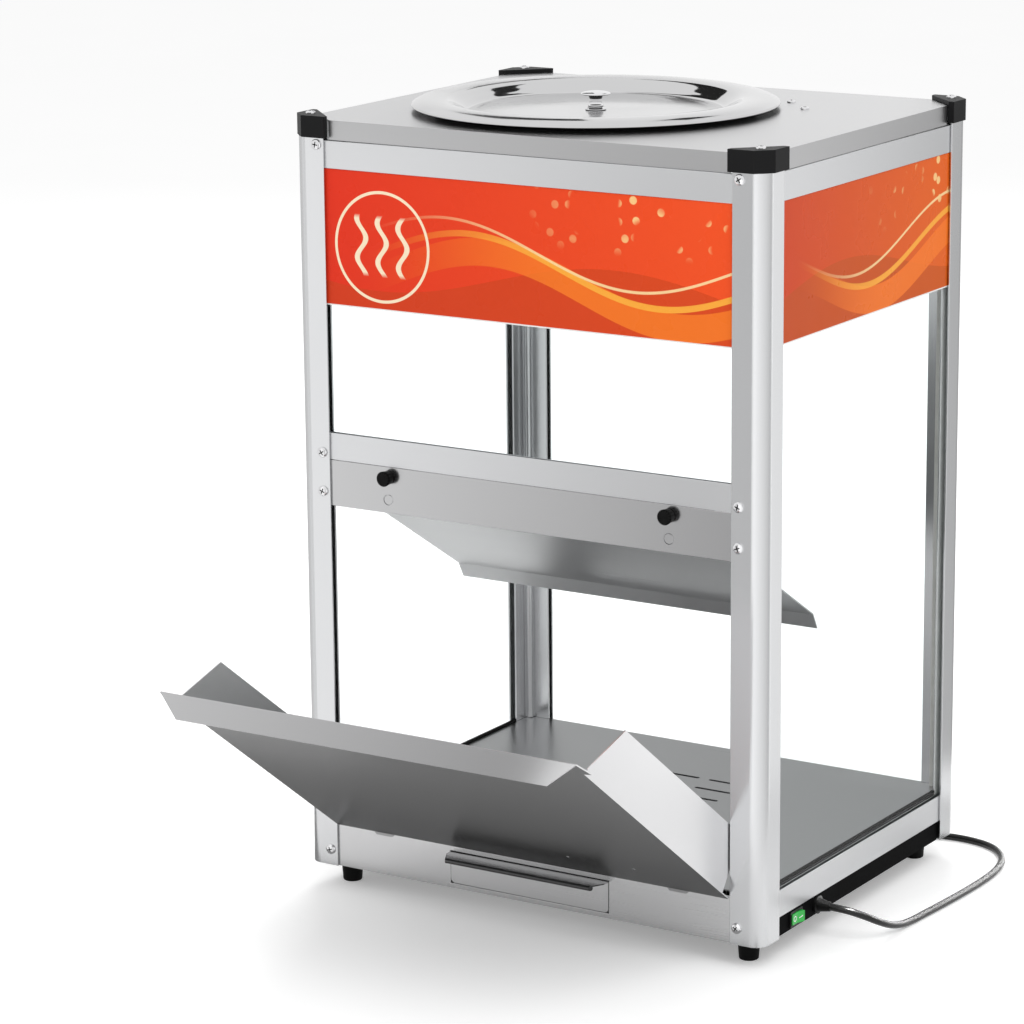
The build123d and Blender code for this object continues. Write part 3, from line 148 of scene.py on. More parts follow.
class WarmerSizes(bpy.types.PropertyGroup):
    """Sizes of the small forms that the finishes add."""

    sheet_round: FloatProperty(
        name="Sheet edge", description="Rounding of the cut sheet edges", default=0.25 * MM, unit="LENGTH",
    )
    frame_round: FloatProperty(
        name="Frame edge", description="Rounding of the extruded edges", default=0.4 * MM, unit="LENGTH",
    )
    spin_steps: IntProperty(name="Steps", description="Steps of a full turn", default=96, min=12)
    cord_diameter: FloatProperty(
        name="Cord", description="Diameter of the mains cord", default=6.4 * MM, unit="LENGTH",
    )
    cord_length: FloatProperty(
        name="Cord length", description="From the gland to the plug", default=2.061, unit="LENGTH",
    )


# ---------------------------------------------------------------- node trees
FINISHES = {}


def blank(name):
    """A new material, its tree and its main shader."""
    material = bpy.data.materials.new("finish_" + name)
    FINISHES[name] = material
    material.use_nodes = True
    tree = material.node_tree
    return material, tree, tree.nodes["Principled BSDF"]


def coords(tree, scale=(1, 1, 1), place=(0, 0, 0), turn=(0, 0, 0)):
    """Object coordinates, moved, turned and scaled for a pattern."""
    source = tree.nodes.new("ShaderNodeTexCoord")
    mapping = tree.nodes.new("ShaderNodeMapping")
    mapping.inputs["Location"].default_value = place
    mapping.inputs["Rotation"].default_value = turn
    mapping.inputs["Scale"].default_value = scale
    tree.links.new(source.outputs["Object"], mapping.inputs["Vector"])
    return mapping.outputs["Vector"]


def separated(tree, vector):
    """The X, Y and Z of a vector."""
    node = tree.nodes.new("ShaderNodeSeparateXYZ")
    tree.links.new(vector, node.inputs["Vector"])
    return node.outputs


def noise(tree, vector, scale=1.0, detail=2.0):
    """Smooth noise between 0 and 1."""
    texture = tree.nodes.new("ShaderNodeTexNoise")
    texture.inputs["Scale"].default_value = scale
    texture.inputs["Detail"].default_value = detail
    tree.links.new(vector, texture.inputs["Vector"])
    return texture.outputs["Fac"]


def calc(tree, operation, *values, clamp=False):
    """One Math node; a value may be a number or a socket."""
    node = tree.nodes.new("ShaderNodeMath")
    node.operation = operation
    node.use_clamp = clamp
    for socket, value in zip(node.inputs, values):
        if isinstance(value, (int, float)):
            socket.default_value = value
        else:
            tree.links.new(value, socket)
    return node.outputs[0]


def ranged(tree, value, from_low, from_high, to_low=0.0, to_high=1.0, smooth=False):
    """A value carried from one range to another, and held at its ends."""
    node = tree.nodes.new("ShaderNodeMapRange")
    node.interpolation_type = "SMOOTHSTEP" if smooth else "LINEAR"
    for name, number in (
        ("From Min", from_low), ("From Max", from_high), ("To Min", to_low), ("To Max", to_high),
    ):
        node.inputs[name].default_value = number
    tree.links.new(value, node.inputs["Value"])
    return node.outputs["Result"]


def blended(tree, factor, first, second):
    """A mix of two colours; each may be a tuple or a socket."""
    node = tree.nodes.new("ShaderNodeMix")
    node.data_type = "RGBA"
    tree.links.new(factor, node.inputs["Factor"])
    for name, colour in (("A", first), ("B", second)):
        socket = next(s for s in node.inputs if s.name == name and s.type == "RGBA")
        if isinstance(colour, bpy.types.NodeSocket):
            tree.links.new(colour, socket)
        else:
            socket.default_value = (*colour, 1)
    return next(s for s in node.outputs if s.type == "RGBA")


def bumped(tree, shader, height, distance, strength=1.0):
    """Fine relief of a depth on the shader's surface."""
    node = tree.nodes.new("ShaderNodeBump")
    node.inputs["Strength"].default_value = strength
    node.inputs["Distance"].default_value = distance
    tree.links.new(height, node.inputs["Height"])
    tree.links.new(node.outputs["Normal"], shader.inputs["Normal"])


def shade(colour, factor):
    """A colour made lighter or darker."""
    return tuple(min(1.0, c * factor) for c in colour)


# ---------------------------------------------------------------- finishes
# scale of the grain along each axis, low along the lines
GRAIN_ALONG_X = (5, 1400, 1400)
GRAIN_ALONG_Y = (1400, 5, 5)
GRAIN_UP = (1500, 1500, 4)
GRAIN_RAILS = (4, 4, 1500)
GRAIN_SKIRT = (5, 5, 1400)
GRAIN_INNER = (5, 1200, 1200)

# ribs round the grip of a thumb knob, and the rings across them
RIB_COUNT = 16.0
RING_PITCH = 2.4 * MM
RIB_DEPTH = 0.25 * MM

# share of light that a clear sheet mirrors head-on, what is added at grazing, and how steeply
MIRROR_LEAST = 0.004
MIRROR_GROWTH = 0.35
MIRROR_POWER = 5.0


def brushed_metal(name, colour, roughness, grain, spread=0.03, tone=0.02, depth=0.000003):
    """Metal with fine lines along the axis where the grain's scale is low."""
    material, tree, shader = blank(name)
    lines = noise(tree, coords(tree, grain), detail=3)
    cloud = noise(tree, coords(tree, (7, 7, 7)), detail=2)
    mixed = calc(tree, "ADD", calc(tree, "MULTIPLY", lines, 0.6), calc(tree, "MULTIPLY", cloud, 0.4))
    tree.links.new(
        blended(tree, mixed, shade(colour, 1 - tone), shade(colour, 1 + tone)), shader.inputs["Base Color"]
    )
    rough = ranged(tree, mixed, 0.3, 0.7, roughness - spread, roughness + spread)
    tree.links.new(rough, shader.inputs["Roughness"])
    bumped(tree, shader, lines, depth, 0.5)
    shader.inputs["Metallic"].default_value = 1
    return material


def polished_metal(name, colour, roughness=0.06):
    """Mirror finish with faint turning marks and wipe marks."""
    material, tree, shader = blank(name)
    shader.inputs["Metallic"].default_value = 1
    wipe = noise(tree, coords(tree, (9, 9, 9)), detail=4)
    tree.links.new(
        blended(tree, wipe, shade(colour, 0.97), shade(colour, 1.03)), shader.inputs["Base Color"]
    )
    rough = ranged(tree, wipe, 0.35, 0.75, roughness * 0.7, roughness * 1.9)
    tree.links.new(rough, shader.inputs["Roughness"])
    bumped(tree, shader, noise(tree, coords(tree, (24, 24, 24)), detail=1), 0.00012, 0.35)
    return material


def moulded(name, colour, roughness=0.45, grain=900, depth=0.00004, specular=0.5, ior=1.5):
    """Moulded plastic or rubber with a fine grain."""
    material, tree, shader = blank(name)
    fine = noise(tree, coords(tree), grain, 2)
    cloud = noise(tree, coords(tree), 40, 2)
    tree.links.new(
        blended(tree, cloud, shade(colour, 0.85), shade(colour, 1.2)), shader.inputs["Base Color"]
    )
    rough = ranged(tree, fine, 0.3, 0.7, roughness - 0.06, roughness + 0.08)
    tree.links.new(rough, shader.inputs["Roughness"])
    shader.inputs["Specular IOR Level"].default_value = specular
    shader.inputs["IOR"].default_value = ior
    bumped(tree, shader, fine, depth, 0.6)
    return material


def knurled(name, centre, colour):
    """Moulded grip with ribs along it, cut across by rings, the grooves painted darker and the lands lighter
    as painted shade and highlight; the knob's axis runs along Y.
    """
    material = moulded(name, colour, 0.35, 1600, 0.00002, 0.05)
    tree = material.node_tree
    shader = tree.nodes["Principled BSDF"]
    x, y, z = separated(tree, coords(tree, place=-centre))
    turn = calc(tree, "ARCTAN2", z, x)
    ribs = calc(tree, "SINE", calc(tree, "MULTIPLY", turn, RIB_COUNT))
    rings = calc(tree, "SINE", calc(tree, "MULTIPLY", y, 2 * math.pi / RING_PITCH))
    lands = calc(tree, "MINIMUM", ribs, rings)
    bumped(tree, shader, lands, RIB_DEPTH, 0.6)
    # colour follows the relief: painted shade in the grooves, painted highlight on the lands
    tone = blended(tree, ranged(tree, lands, -0.4, 0.6), shade(colour, 0.2), shade(colour, 8))
    tree.links.new(tone, shader.inputs["Base Color"])
    return material


def clear_sheet(name, tint):
    """Clear plastic sheet: see-through, with a mirror that grows towards grazing."""
    material, tree, shader = blank(name)
    tree.nodes.remove(shader)
    out = tree.nodes["Material Output"]
    facing = tree.nodes.new("ShaderNodeLayerWeight")
    steep = calc(tree, "POWER", facing.outputs["Facing"], MIRROR_POWER)
    factor = calc(tree, "ADD", calc(tree, "MULTIPLY", steep, MIRROR_GROWTH), MIRROR_LEAST, clamp=True)
    clear = tree.nodes.new("ShaderNodeBsdfTransparent")
    clear.inputs["Color"].default_value = (*tint, 1)
    mirror = tree.nodes.new("ShaderNodeBsdfGlossy")
    scuffs = noise(tree, coords(tree, (60, 60, 60)), detail=3)
    tree.links.new(ranged(tree, scuffs, 0.4, 0.8, 0.02, 0.09), mirror.inputs["Roughness"])
    mix = tree.nodes.new("ShaderNodeMixShader")
    tree.links.new(factor, mix.inputs["Fac"])
    tree.links.new(clear.outputs[0], mix.inputs[1])
    tree.links.new(mirror.outputs[0], mix.inputs[2])
    tree.links.new(mix.outputs[0], out.inputs["Surface"])
    return material


# ---------------------------------------------------------------- banner print
PRINT_EDGE = 0.35 * MM      # softness of the printed edges
DARK_LEFT = (0.60, 0.056, 0.014)
DARK_RIGHT = (0.80, 0.135, 0.012)
CRUMB_COLOUR = (0.95, 0.62, 0.26)
FOOT_COLOUR = (0.85, 0.84, 0.82)
BACK_COLOUR = (0.78, 0.77, 0.75)

# the badge: its middle as shares of the banner's length and height, its ring and its curls
BADGE_ALONG = 0.17
BADGE_UP = 0.46
RING_RADIUS = 0.047
CURL_STEP = 0.021
CURL_SWING = 0.0045
CURL_PERIOD = 0.034
CURL_LEAN = 0.6
CURL_WIDTH = 0.0052


def wave_band(tree, along, up, middle, swing, period, phase, width, edge):
    """1 inside a wavy band that runs along one axis, 0 outside."""
    angle = calc(tree, "ADD", calc(tree, "MULTIPLY", along, 2 * math.pi / period), phase)
    centre = calc(tree, "ADD", calc(tree, "MULTIPLY", calc(tree, "SINE", angle), swing), middle)
    away = calc(tree, "ABSOLUTE", calc(tree, "SUBTRACT", up, centre))
    return ranged(tree, away, width / 2 - edge, width / 2 + edge, 1, 0, smooth=True)


def spots(tree, vector, scale, size, edge):
    """1 inside round spots of uneven spacing, 0 outside."""
    cells = tree.nodes.new("ShaderNodeTexVoronoi")
    cells.voronoi_dimensions = "2D"
    cells.inputs["Scale"].default_value = scale
    cells.inputs["Randomness"].default_value = 0.8
    tree.links.new(vector, cells.inputs["Vector"])
    return ranged(tree, cells.outputs["Distance"], size - edge, size + edge, 1, 0, smooth=True)


def ribbons(tree, colour, along, up, share, bottom, height, shadow):
    """One deep band, then three bright ones that fade in along the banner."""
    deep = wave_band(
        tree, along, up, bottom + 0.05 * height, 0.16 * height, 0.46, 0.4, 0.5 * height, PRINT_EDGE
    )
    colour = blended(tree, calc(tree, "MULTIPLY", deep, 0.55), colour, shadow)
    for lift, wide, phase, tint, strength in (
        (0.30, 0.20, 2.2, (0.93, 0.20, 0.02), 0.85),
        (0.42, 0.045, 2.5, (0.96, 0.42, 0.05), 0.95),
        (0.52, 0.02, 2.9, (0.96, 0.70, 0.35), 0.9),
    ):
        band = wave_band(
            tree, along, up, bottom + lift * height, 0.2 * height, 0.37, phase, wide * height, PRINT_EDGE
        )
        near = ranged(tree, share, 0.12, 0.62, 0.0, strength, smooth=True)
        colour = blended(tree, calc(tree, "MULTIPLY", band, near), colour, tint)
    return colour


def crumbs(tree, colour, along, up, share, bottom, height):
    """Loose spots over the upper part, towards the far end."""
    flat = tree.nodes.new("ShaderNodeCombineXYZ")
    tree.links.new(along, flat.inputs["X"])
    tree.links.new(up, flat.inputs["Y"])
    dots = spots(tree, flat.outputs[0], 58, 0.2, 0.03)
    thin = ranged(tree, noise(tree, flat.outputs[0], 22, 1), 0.5, 0.56, 0, 1)
    upper = ranged(tree, up, bottom + 0.55 * height, bottom + 0.7 * height, 0, 1, smooth=True)
    side = ranged(tree, share, 0.45, 0.75, 0, 0.9, smooth=True)
    mask = calc(tree, "MULTIPLY", calc(tree, "MULTIPLY", dots, thin), calc(tree, "MULTIPLY", upper, side))
    return blended(tree, mask, colour, CRUMB_COLOUR)


def badge(tree, colour, light, along, up, middle, bottom, top):
    """Three curls of heat in a ring."""
    height = top - bottom
    for step in (-1, 0, 1):
        curl = wave_band(
            tree, up, along, middle + step * CURL_STEP, CURL_SWING, CURL_PERIOD, step * CURL_LEAN,
            CURL_WIDTH, PRINT_EDGE,
        )
        reach = calc(
            tree, "MULTIPLY",
            ranged(tree, up, bottom + 0.24 * height, bottom + 0.27 * height),
            ranged(tree, up, top - 0.34 * height, top - 0.31 * height, 1, 0),
        )
        colour = blended(tree, calc(tree, "MULTIPLY", curl, reach), colour, light)
    away = calc(
        tree, "ADD",
        calc(tree, "POWER", calc(tree, "SUBTRACT", along, middle), 2.0),
        calc(tree, "POWER", calc(tree, "SUBTRACT", up, bottom + BADGE_UP * height), 2.0),
    )
    ring = calc(tree, "ABSOLUTE", calc(tree, "SUBTRACT", calc(tree, "SQRT", away), RING_RADIUS))
    return blended(tree, ranged(tree, ring, 0.0011, 0.0015, 1, 0), colour, light)


def printed(name, finish, axis, low, high, bottom, top, outer, inner, dark):
    """Banner print: warm bands and spots over a blend, on the outer face; the back is plain white.

    axis is 0 where the banner runs along X and 1 along Y; outer and inner are its two faces.
    The side banners are darker, and have no badge.
    """
    material, tree, shader = blank(name)
    place = separated(tree, coords(tree))
    along, up = place[axis], place[2]
    share = ranged(tree, along, low, high)
    left, right = Vector(finish.print_left), Vector(finish.print_right)
    if dark:
        left, right = Vector(DARK_LEFT), Vector(DARK_RIGHT)
    height = top - bottom
    colour = blended(tree, share, left, right)
    colour = ribbons(tree, colour, along, up, share, bottom, height, tuple(right * 0.62))
    colour = crumbs(tree, colour, along, up, share, bottom, height)
    if not dark:
        middle = low + (high - low) * BADGE_ALONG
        colour = badge(tree, colour, Vector(finish.print_light), along, up, middle, bottom, top)
    foot = ranged(tree, up, bottom + 1.1 * MM, bottom + 1.3 * MM, 1, 0)
    colour = blended(tree, foot, colour, FOOT_COLOUR)
    middle = (outer + inner) / 2
    step = 0.05 * MM * (1 if inner > outer else -1)
    back = ranged(tree, place[1 - axis], middle - step, middle + step)
    colour = blended(tree, back, colour, BACK_COLOUR)
    tree.links.new(colour, shader.inputs["Base Color"])
    rough = ranged(tree, noise(tree, coords(tree), 30, 3), 0.3, 0.7, 0.24, 0.36)
    tree.links.new(rough, shader.inputs["Roughness"])
    shader.inputs["Specular IOR Level"].default_value = 0.1
    return material


# ---------------------------------------------------------------- all finishes
def finishes(context):
    """All the materials, made once and kept by name."""
    if "posts" in FINISHES:
        return FINISHES
    finish = context.scene.warmer_finish
    steel = finish.stainless
    brushed_metal("posts", finish.aluminium, 0.24, GRAIN_UP, 0.02, 0.01)
    brushed_metal("rails", finish.aluminium, 0.36, GRAIN_RAILS, 0.02, 0.01)
    brushed_metal("top_sheet", shade(steel, 1.2), 0.3, GRAIN_ALONG_X, 0.01, 0.008, 0.000001)
    # the skirt is a darker copy of the top's steel: painted shade on the turned-down sides of the same sheet,
    # which also has its own grain
    brushed_metal("top_skirt_painted_shade", shade(steel, 0.9), 0.34, GRAIN_SKIRT, 0.02, 0.008)
    brushed_metal("front_sheet", shade(steel, 1.15), 0.26, GRAIN_ALONG_X, 0.02, 0.01)
    brushed_metal("apron_sheet", shade(steel, 0.94), 0.2, GRAIN_ALONG_X, 0.02, 0.008)
    brushed_metal("door_sheet", shade(steel, 0.98), 0.24, GRAIN_ALONG_X, 0.02, 0.01)
    # lighter copy of the door's steel: painted light on the wings, the door's inner side and the small tops
    brushed_metal("door_painted_light", shade(steel, 1.52), 0.3, GRAIN_ALONG_Y, 0.02, 0.01)
    # darker copy of the door's steel on its outer side: painted reflection of the shadowed floor
    brushed_metal("door_outside_painted_shade", shade(steel, 0.4), 0.3, (1400, 1400, 1400), 0.02, 0.01)
    brushed_metal("inner_sheet", shade(steel, 0.95), 0.3, GRAIN_INNER, 0.03, 0.015)
    # darker copy of the front steel for the drawer pull: painted shade
    brushed_metal("pull_painted_shade", shade(steel, 0.8), 0.22, GRAIN_ALONG_X, 0.02, 0.015)
    # darker copy of the door's steel on the tongues: painted shade
    brushed_metal("door_tongue_painted_shade", shade(steel, 0.58), 0.22, GRAIN_ALONG_X, 0.02, 0.015)
    # much darker copy for the pull's rolled hem: painted shade
    brushed_metal("pull_hem_painted_shade", shade(steel, 0.16), 0.25, GRAIN_ALONG_X, 0.02, 0.015)
    brushed_metal("zinc", (0.60, 0.61, 0.62), 0.34, (160, 160, 160), 0.08, 0.08)
    brushed_metal("element", (0.30, 0.27, 0.24), 0.42, (120, 120, 120), 0.1, 0.14)
    # dark steel for the screws' cross recesses: painted shade in the recess
    brushed_metal("recess", (0.08, 0.08, 0.08), 0.35, (160, 160, 160))
    brushed_metal("brass", (0.72, 0.51, 0.22), 0.26, (260, 260, 260), 0.08, 0.06)
    polished_metal("spun_lid", finish.polished, 0.045)
    polished_metal("lid_middle", finish.polished, 0.13)
    # dark copy of the polished steel for faces that look down: painted shade under the lid's rim and the
    # knob's head
    polished_metal("underside_painted_shade", shade(finish.polished, 0.06), 0.3)
    polished_metal("chrome", (0.78, 0.78, 0.79), 0.06)
    moulded("cap_plastic", (0.009, 0.009, 0.0095), 0.42, 1400, 0.00003, 0.1)
    for side in ("left", "right"):
        low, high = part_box("thumb_knob_" + side)
        knurled("knob_" + side, (low + high) / 2, (0.002, 0.002, 0.002))
    moulded("foot_rubber", (0.004, 0.004, 0.004), 0.45, 1200, 0.00003, 0.12)
    moulded("seal_rubber", (0.006, 0.006, 0.006), 0.55, 1200, 0.00003, 0.12)
    moulded("switch_black", (0.007, 0.007, 0.007), 0.3, 1600, 0.00002, 0.3)
    moulded("switch_green", finish.switch_green, 0.2, 1600, 0.00001)
    moulded("switch_mark", (0.86, 0.90, 0.86), 0.35, 1600, 0.00001)
    moulded("base_enamel", (0.005, 0.005, 0.0053), 0.45, 500, 0.00004, 0.5, 1.06)
    moulded("cord_skin", (0.005, 0.005, 0.005), 0.22, 2500, 0.000005, 0.4)
    moulded("gland_skin", (0.004, 0.004, 0.004), 0.3, 1500, 0.00003, 0.12)
    moulded("plug_skin", (0.01, 0.01, 0.01), 0.3, 1500, 0.00003, 0.4)
    moulded("tie_band", (0.03, 0.03, 0.032), 0.5, 1500, 0.00003)
    moulded("ceramic", (0.62, 0.59, 0.53), 0.4, 700, 0.00004)
    moulded("channel", (0.78, 0.78, 0.77), 0.5, 900, 0.00002)
    moulded("cover_white", (0.62, 0.61, 0.58), 0.4, 900, 0.00003)
    moulded("wire_red", (0.34, 0.02, 0.015), 0.4, 1500, 0.00001)
    moulded("bulb_glass", (0.80, 0.79, 0.75), 0.16, 500, 0.00001)
    clear_sheet("clear_window", (0.975, 0.985, 0.985))
    for name, node, axis, dark in (
        ("front_print", "front_banner", 0, False), ("right_print", "right_banner", 1, True),
        ("left_print", "left_banner", 1, True),
    ):
        low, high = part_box(node)
        ends = (low[axis], high[axis])
        faces = (low[1 - axis], high[1 - axis])
        if node == "right_banner":
            faces = faces[::-1]
        if node == "left_banner":
            ends = ends[::-1]
        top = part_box("top_rail_front")[0].z
        printed(name, finish, axis, *ends, low.z, top, *faces, dark)
    return FINISHES


# ---------------------------------------------------------------- mesh helpers
WELD = 0.001 * MM               # corners nearer than this are one
FLAT = math.radians(0.4)        # faces that turn less are one plane
CREASE = math.radians(32)       # edges that turn more stay sharp
NARROW = 5 * MM                 # strips of a curve are narrower than this


def body_of(node):
    """Name of the body that carries the node."""
    return next(body for body, members in BODIES.items() if node in members)


def mesh_from(name, bm):
    """The bmesh as a mesh; the bmesh is freed."""
    mesh = bpy.data.meshes.new(name)
    bm.to_mesh(mesh)
    bm.free()
    return mesh


def placed(name, data):
    """A new object in the scene."""
    item = bpy.data.objects.new(name, data)
    bpy.context.scene.collection.objects.link(item)
    return item


def as_piece(name, bm, material, body, nodes=()):
    """A finished mesh at the origin that rides on a body and stands for the nodes."""
    mesh = mesh_from(name, bm)
    mesh.materials.append(material)
    return as_object(name, mesh, body, nodes)


def as_object(name, data, body, nodes=()):
    """A piece from a mesh or a curve that rides on a body and stands for the nodes."""
    piece = placed(name, data)
    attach(piece, body)
    if nodes:
        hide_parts(*nodes)
    return piece


def smooth_where_curved(bm):
    """Smooth faces only on the curved stretches, with creases kept sharp."""
    for edge in bm.edges:
        if edge.is_manifold:
            edge.smooth = edge.calc_face_angle(0) < CREASE
    for face in bm.faces:
        longest = max(edge.calc_length() for edge in face.edges)
        bends = any(
            edge.is_manifold and FLAT < edge.calc_face_angle(0) < CREASE for edge in face.edges
        )
        face.smooth = bends and face.calc_area() / longest < NARROW


def welded(node):
    """The node's shape as one mesh, its flat stretches joined."""
    bm = bmesh.new()
    bm.from_mesh(NODES[node].data)
    bmesh.ops.remove_doubles(bm, verts=bm.verts, dist=WELD)
    bmesh.ops.dissolve_limit(bm, angle_limit=FLAT, verts=bm.verts, edges=bm.edges, delimit=set())
    smooth_where_curved(bm)
    return bm


def rounded(bm, width, least):
    """Rounds the sharp edges that are longer than least."""
    sharp = [
        edge for edge in bm.edges
        if edge.is_manifold and edge.calc_face_angle(0) > CREASE and edge.calc_length() > least
    ]
    made = bmesh.ops.bevel(
        bm, geom=sharp, affect="EDGES", offset=width, offset_type="OFFSET", segments=2, profile=0.5,
        material=-1, clamp_overlap=True,
    )
    for face in made["faces"]:
        face.smooth = True


def dressed(node, material, width=0.0, least=3 * MM):
    """A smooth copy of the node with rounded edges, in its place."""
    bm = welded(node)
    if width:
        rounded(bm, width, least)
    return as_piece(node + "_finish", bm, material, body_of(node), (node,))


def standing(place, axis):
    """The matrix that stands a shape on a place, its Z turned to the axis."""
    turn = Vector((0, 0, 1)).rotation_difference(Vector(axis)).to_matrix().to_4x4()
    return Matrix.Translation(place) @ turn


def spun(outline, centre, steps, axis=(0, 0, 1)):
    """A closed turned shape from an outline of (radius, height) points in millimetres."""
    bm = bmesh.new()
    place = standing(centre, axis)
    verts = [bm.verts.new(place @ Vector((r * MM, 0, z * MM))) for r, z in outline]
    edges = [bm.edges.new(pair) for pair in zip(verts, verts[1:])]
    bmesh.ops.spin(
        bm, geom=verts + edges, cent=centre, axis=axis, dvec=(0, 0, 0), angle=2 * math.pi, steps=steps,
        use_merge=True, use_duplicate=False,
    )
    bmesh.ops.remove_doubles(bm, verts=bm.verts, dist=WELD)
    bmesh.ops.recalc_face_normals(bm, faces=bm.faces)
    for edge in bm.edges:
        edge.smooth = edge.calc_face_angle(0) < CREASE
    for face in bm.faces:
        face.smooth = True
    return bm


def curve_through(start, leave, arrive, end, count=8):
    """Points of one smooth curve between two outline points, without its start."""
    points = interpolate_bezier(
        Vector((*start, 0)), Vector((*leave, 0)), Vector((*arrive, 0)), Vector((*end, 0)), count + 1
    )
    return [(p.x, p.y) for p in points[1:]]


def joined(target, source):
    """Adds one bmesh to another."""
    mesh = mesh_from("part", source)
    target.from_mesh(mesh)
    bpy.data.meshes.remove(mesh)
    return target


# ---------------------------------------------------------------- stage
class WARMER_OT_stage(bpy.types.Operator):
    """Lay the floor, hang the lamps and set up the camera"""

    bl_idname = "warmer.stage"
    bl_label = "Stage"

    def execute(self, context):
        stage = context.scene.warmer_stage
        self.floor(stage)
        self.world(context.scene, stage)
        self.lamps(stage)
        self.cards()
        self.camera(context.scene, stage)
        context.scene.view_settings.view_transform = "Standard"
        return {"FINISHED"}

    def background_rays(self, tree):
        """1 for rays that show the background: straight to the lens, mirrored or seen through."""
        path = tree.nodes.new("ShaderNodeLightPath")
        seen = calc(tree, "MAXIMUM", path.outputs["Is Camera Ray"], path.outputs["Is Glossy Ray"])
        return calc(tree, "MAXIMUM", seen, path.outputs["Is Transmission Ray"])

    def floor(self, stage):
        """A wide pale floor that takes the shadow and, where it is seen, lifts itself to white."""
        reach = 30.0
        bm = bmesh.new()
        bmesh.ops.create_grid(bm, x_segments=1, y_segments=1, size=reach)
        floor = placed("floor", mesh_from("floor", bm))
        material, tree, shader = blank("floor")
        colour = tuple(stage.floor_colour)
        mottle = noise(tree, coords(tree), 3, 2)
        tree.links.new(
            blended(tree, mottle, shade(colour, 0.99), shade(colour, 1.01)), shader.inputs["Base Color"]
        )
        shader.inputs["Roughness"].default_value = 0.8
        shader.inputs["Specular IOR Level"].default_value = 0
        shader.inputs["Emission Color"].default_value = (1, 1, 1, 1)
        seen = self.background_rays(tree)
        path = tree.nodes.new("ShaderNodeLightPath")
        mirrored = calc(tree, "MULTIPLY", path.outputs["Is Glossy Ray"], stage.floor_lift - stage.mirror_lift)
        lift = calc(tree, "SUBTRACT", calc(tree, "MULTIPLY", seen, stage.floor_lift), mirrored)
        tree.links.new(lift, shader.inputs["Emission Strength"])
        floor.data.materials.append(material)

    def world(self, scene, stage):
        """Even light on the object, and white where the background shows."""
        world = bpy.data.worlds.new("studio")
        scene.world = world
        world.use_nodes = True
        tree = world.node_tree
        ground = tree.nodes["Background"]
        ground.inputs["Color"].default_value = (1, 1, 1, 1)
        level = ranged(tree, self.background_rays(tree), 0, 1, stage.world_level, 1.0)
        tree.links.new(level, ground.inputs["Strength"])

    def lamps(self, stage):
        """Soft lamps for all, and two that only put a streak along the glossy cord."""
        glossed = bpy.data.collections.new("glossed")
        streak_width = 0.8
        for name, place, size, power in (
            ("key", (1.6, -1.2, 2.6), 1.8, stage.key_power),
            ("fill", (-1.9, -1.6, 1.9), 1.6, stage.key_power * 0.4),
            ("back", (-1.1, 2.0, 2.2), 1.4, stage.key_power * 1.1),
            ("streak_rear", (0.45, 1.5, 0.5), 1.5, stage.gloss_power),
            ("streak_over", (0.85, 0.1, 1.9), 1.4, stage.gloss_power),
        ):
            streak = name.startswith("streak")
            data = bpy.data.lights.new(name, "AREA")
            data.shape = "RECTANGLE"
            data.size = size
            data.size_y = streak_width if streak else size
            data.energy = power
            lamp = placed(name, data)
            lamp.location = place
            aim = Vector((0, MIDDLE_Y, 0.3)) - lamp.location
            lamp.rotation_euler = aim.to_track_quat("-Z", "Y").to_euler()
            lamp.visible_glossy = streak
            lamp.visible_diffuse = not streak
            if streak:
                lamp.light_linking.receiver_collection = glossed

    def cards(self):
        """Cards that are seen only in the metal.

        The upright ones curve round the warmer: start and end in degrees to the right of the
        front, low and high edges in metres, and their light at the start and the end. The level
        ones lie just above the floor: near and far corner, and their light at the front and rear.
        """
        for name, start, end, low, high, first, last in (
            ("card_upper_rear", -180, -90, 0.66, 0.92, 1.04, 0.88),
            ("card_upper", -90, 180, 0.66, 0.92, 0.93, 0.96),
            ("card_low_left", -180, -60, 0, 0.66, 0.5, 0.8),
            ("card_left", -60, -47, 0, 0.66, 1.05, 0.78),
            ("card_front_left", -47, 11, 0, 0.66, 1.24, 0.52),
            ("card_front_right", 11, 104, 0, 0.66, 1.45, 0.6),
            ("card_right", 104, 147, 0, 0.66, 1.55, 0.4),
            ("card_low_rear", 147, 180, 0, 0.66, 0.5, 0.5),
            ("card_dark_left", -144, -124, 0.93, 1.16, 0.02, 0.03),
            ("card_dark_rear", -176, -163, 1.16, 1.4, 0.03, 0.03),
        ):
            self.card(name, math.radians(start), math.radians(end), low, high, first, last)
        for name, corner, far, first, last in (
            # dim card under the door's front, seen only in metal: painted shadow of the floor as the door
            # mirrors it
            ("plate_painted_shadow", (-0.5, -0.105, 0.002), (0.26, 0, 0.002), 0.3, 0.3),
            # bright card on the floor right of the warmer, seen only in metal: painted reflection of light on
            # the floor
            ("plate_painted_light", (0.25, 0, 0.002), (0.5, 0.45, 0.002), 1.1, 0.8),
        ):
            self.plate(name, corner, far, first, last)

    def plate(self, name, corner, far, first, last):
        """One level card; its light goes evenly from first to last along Y."""
        bm = bmesh.new()
        verts = [
            bm.verts.new((x, y, corner[2]))
            for x, y in (corner[:2], (far[0], corner[1]), far[:2], (corner[0], far[1]))
        ]
        bm.faces.new(verts)
        tree = self.glow(name, bm)[1]
        along = separated(tree, coords(tree))[1]
        self.lit(tree, ranged(tree, along, corner[1], far[1], first, last))

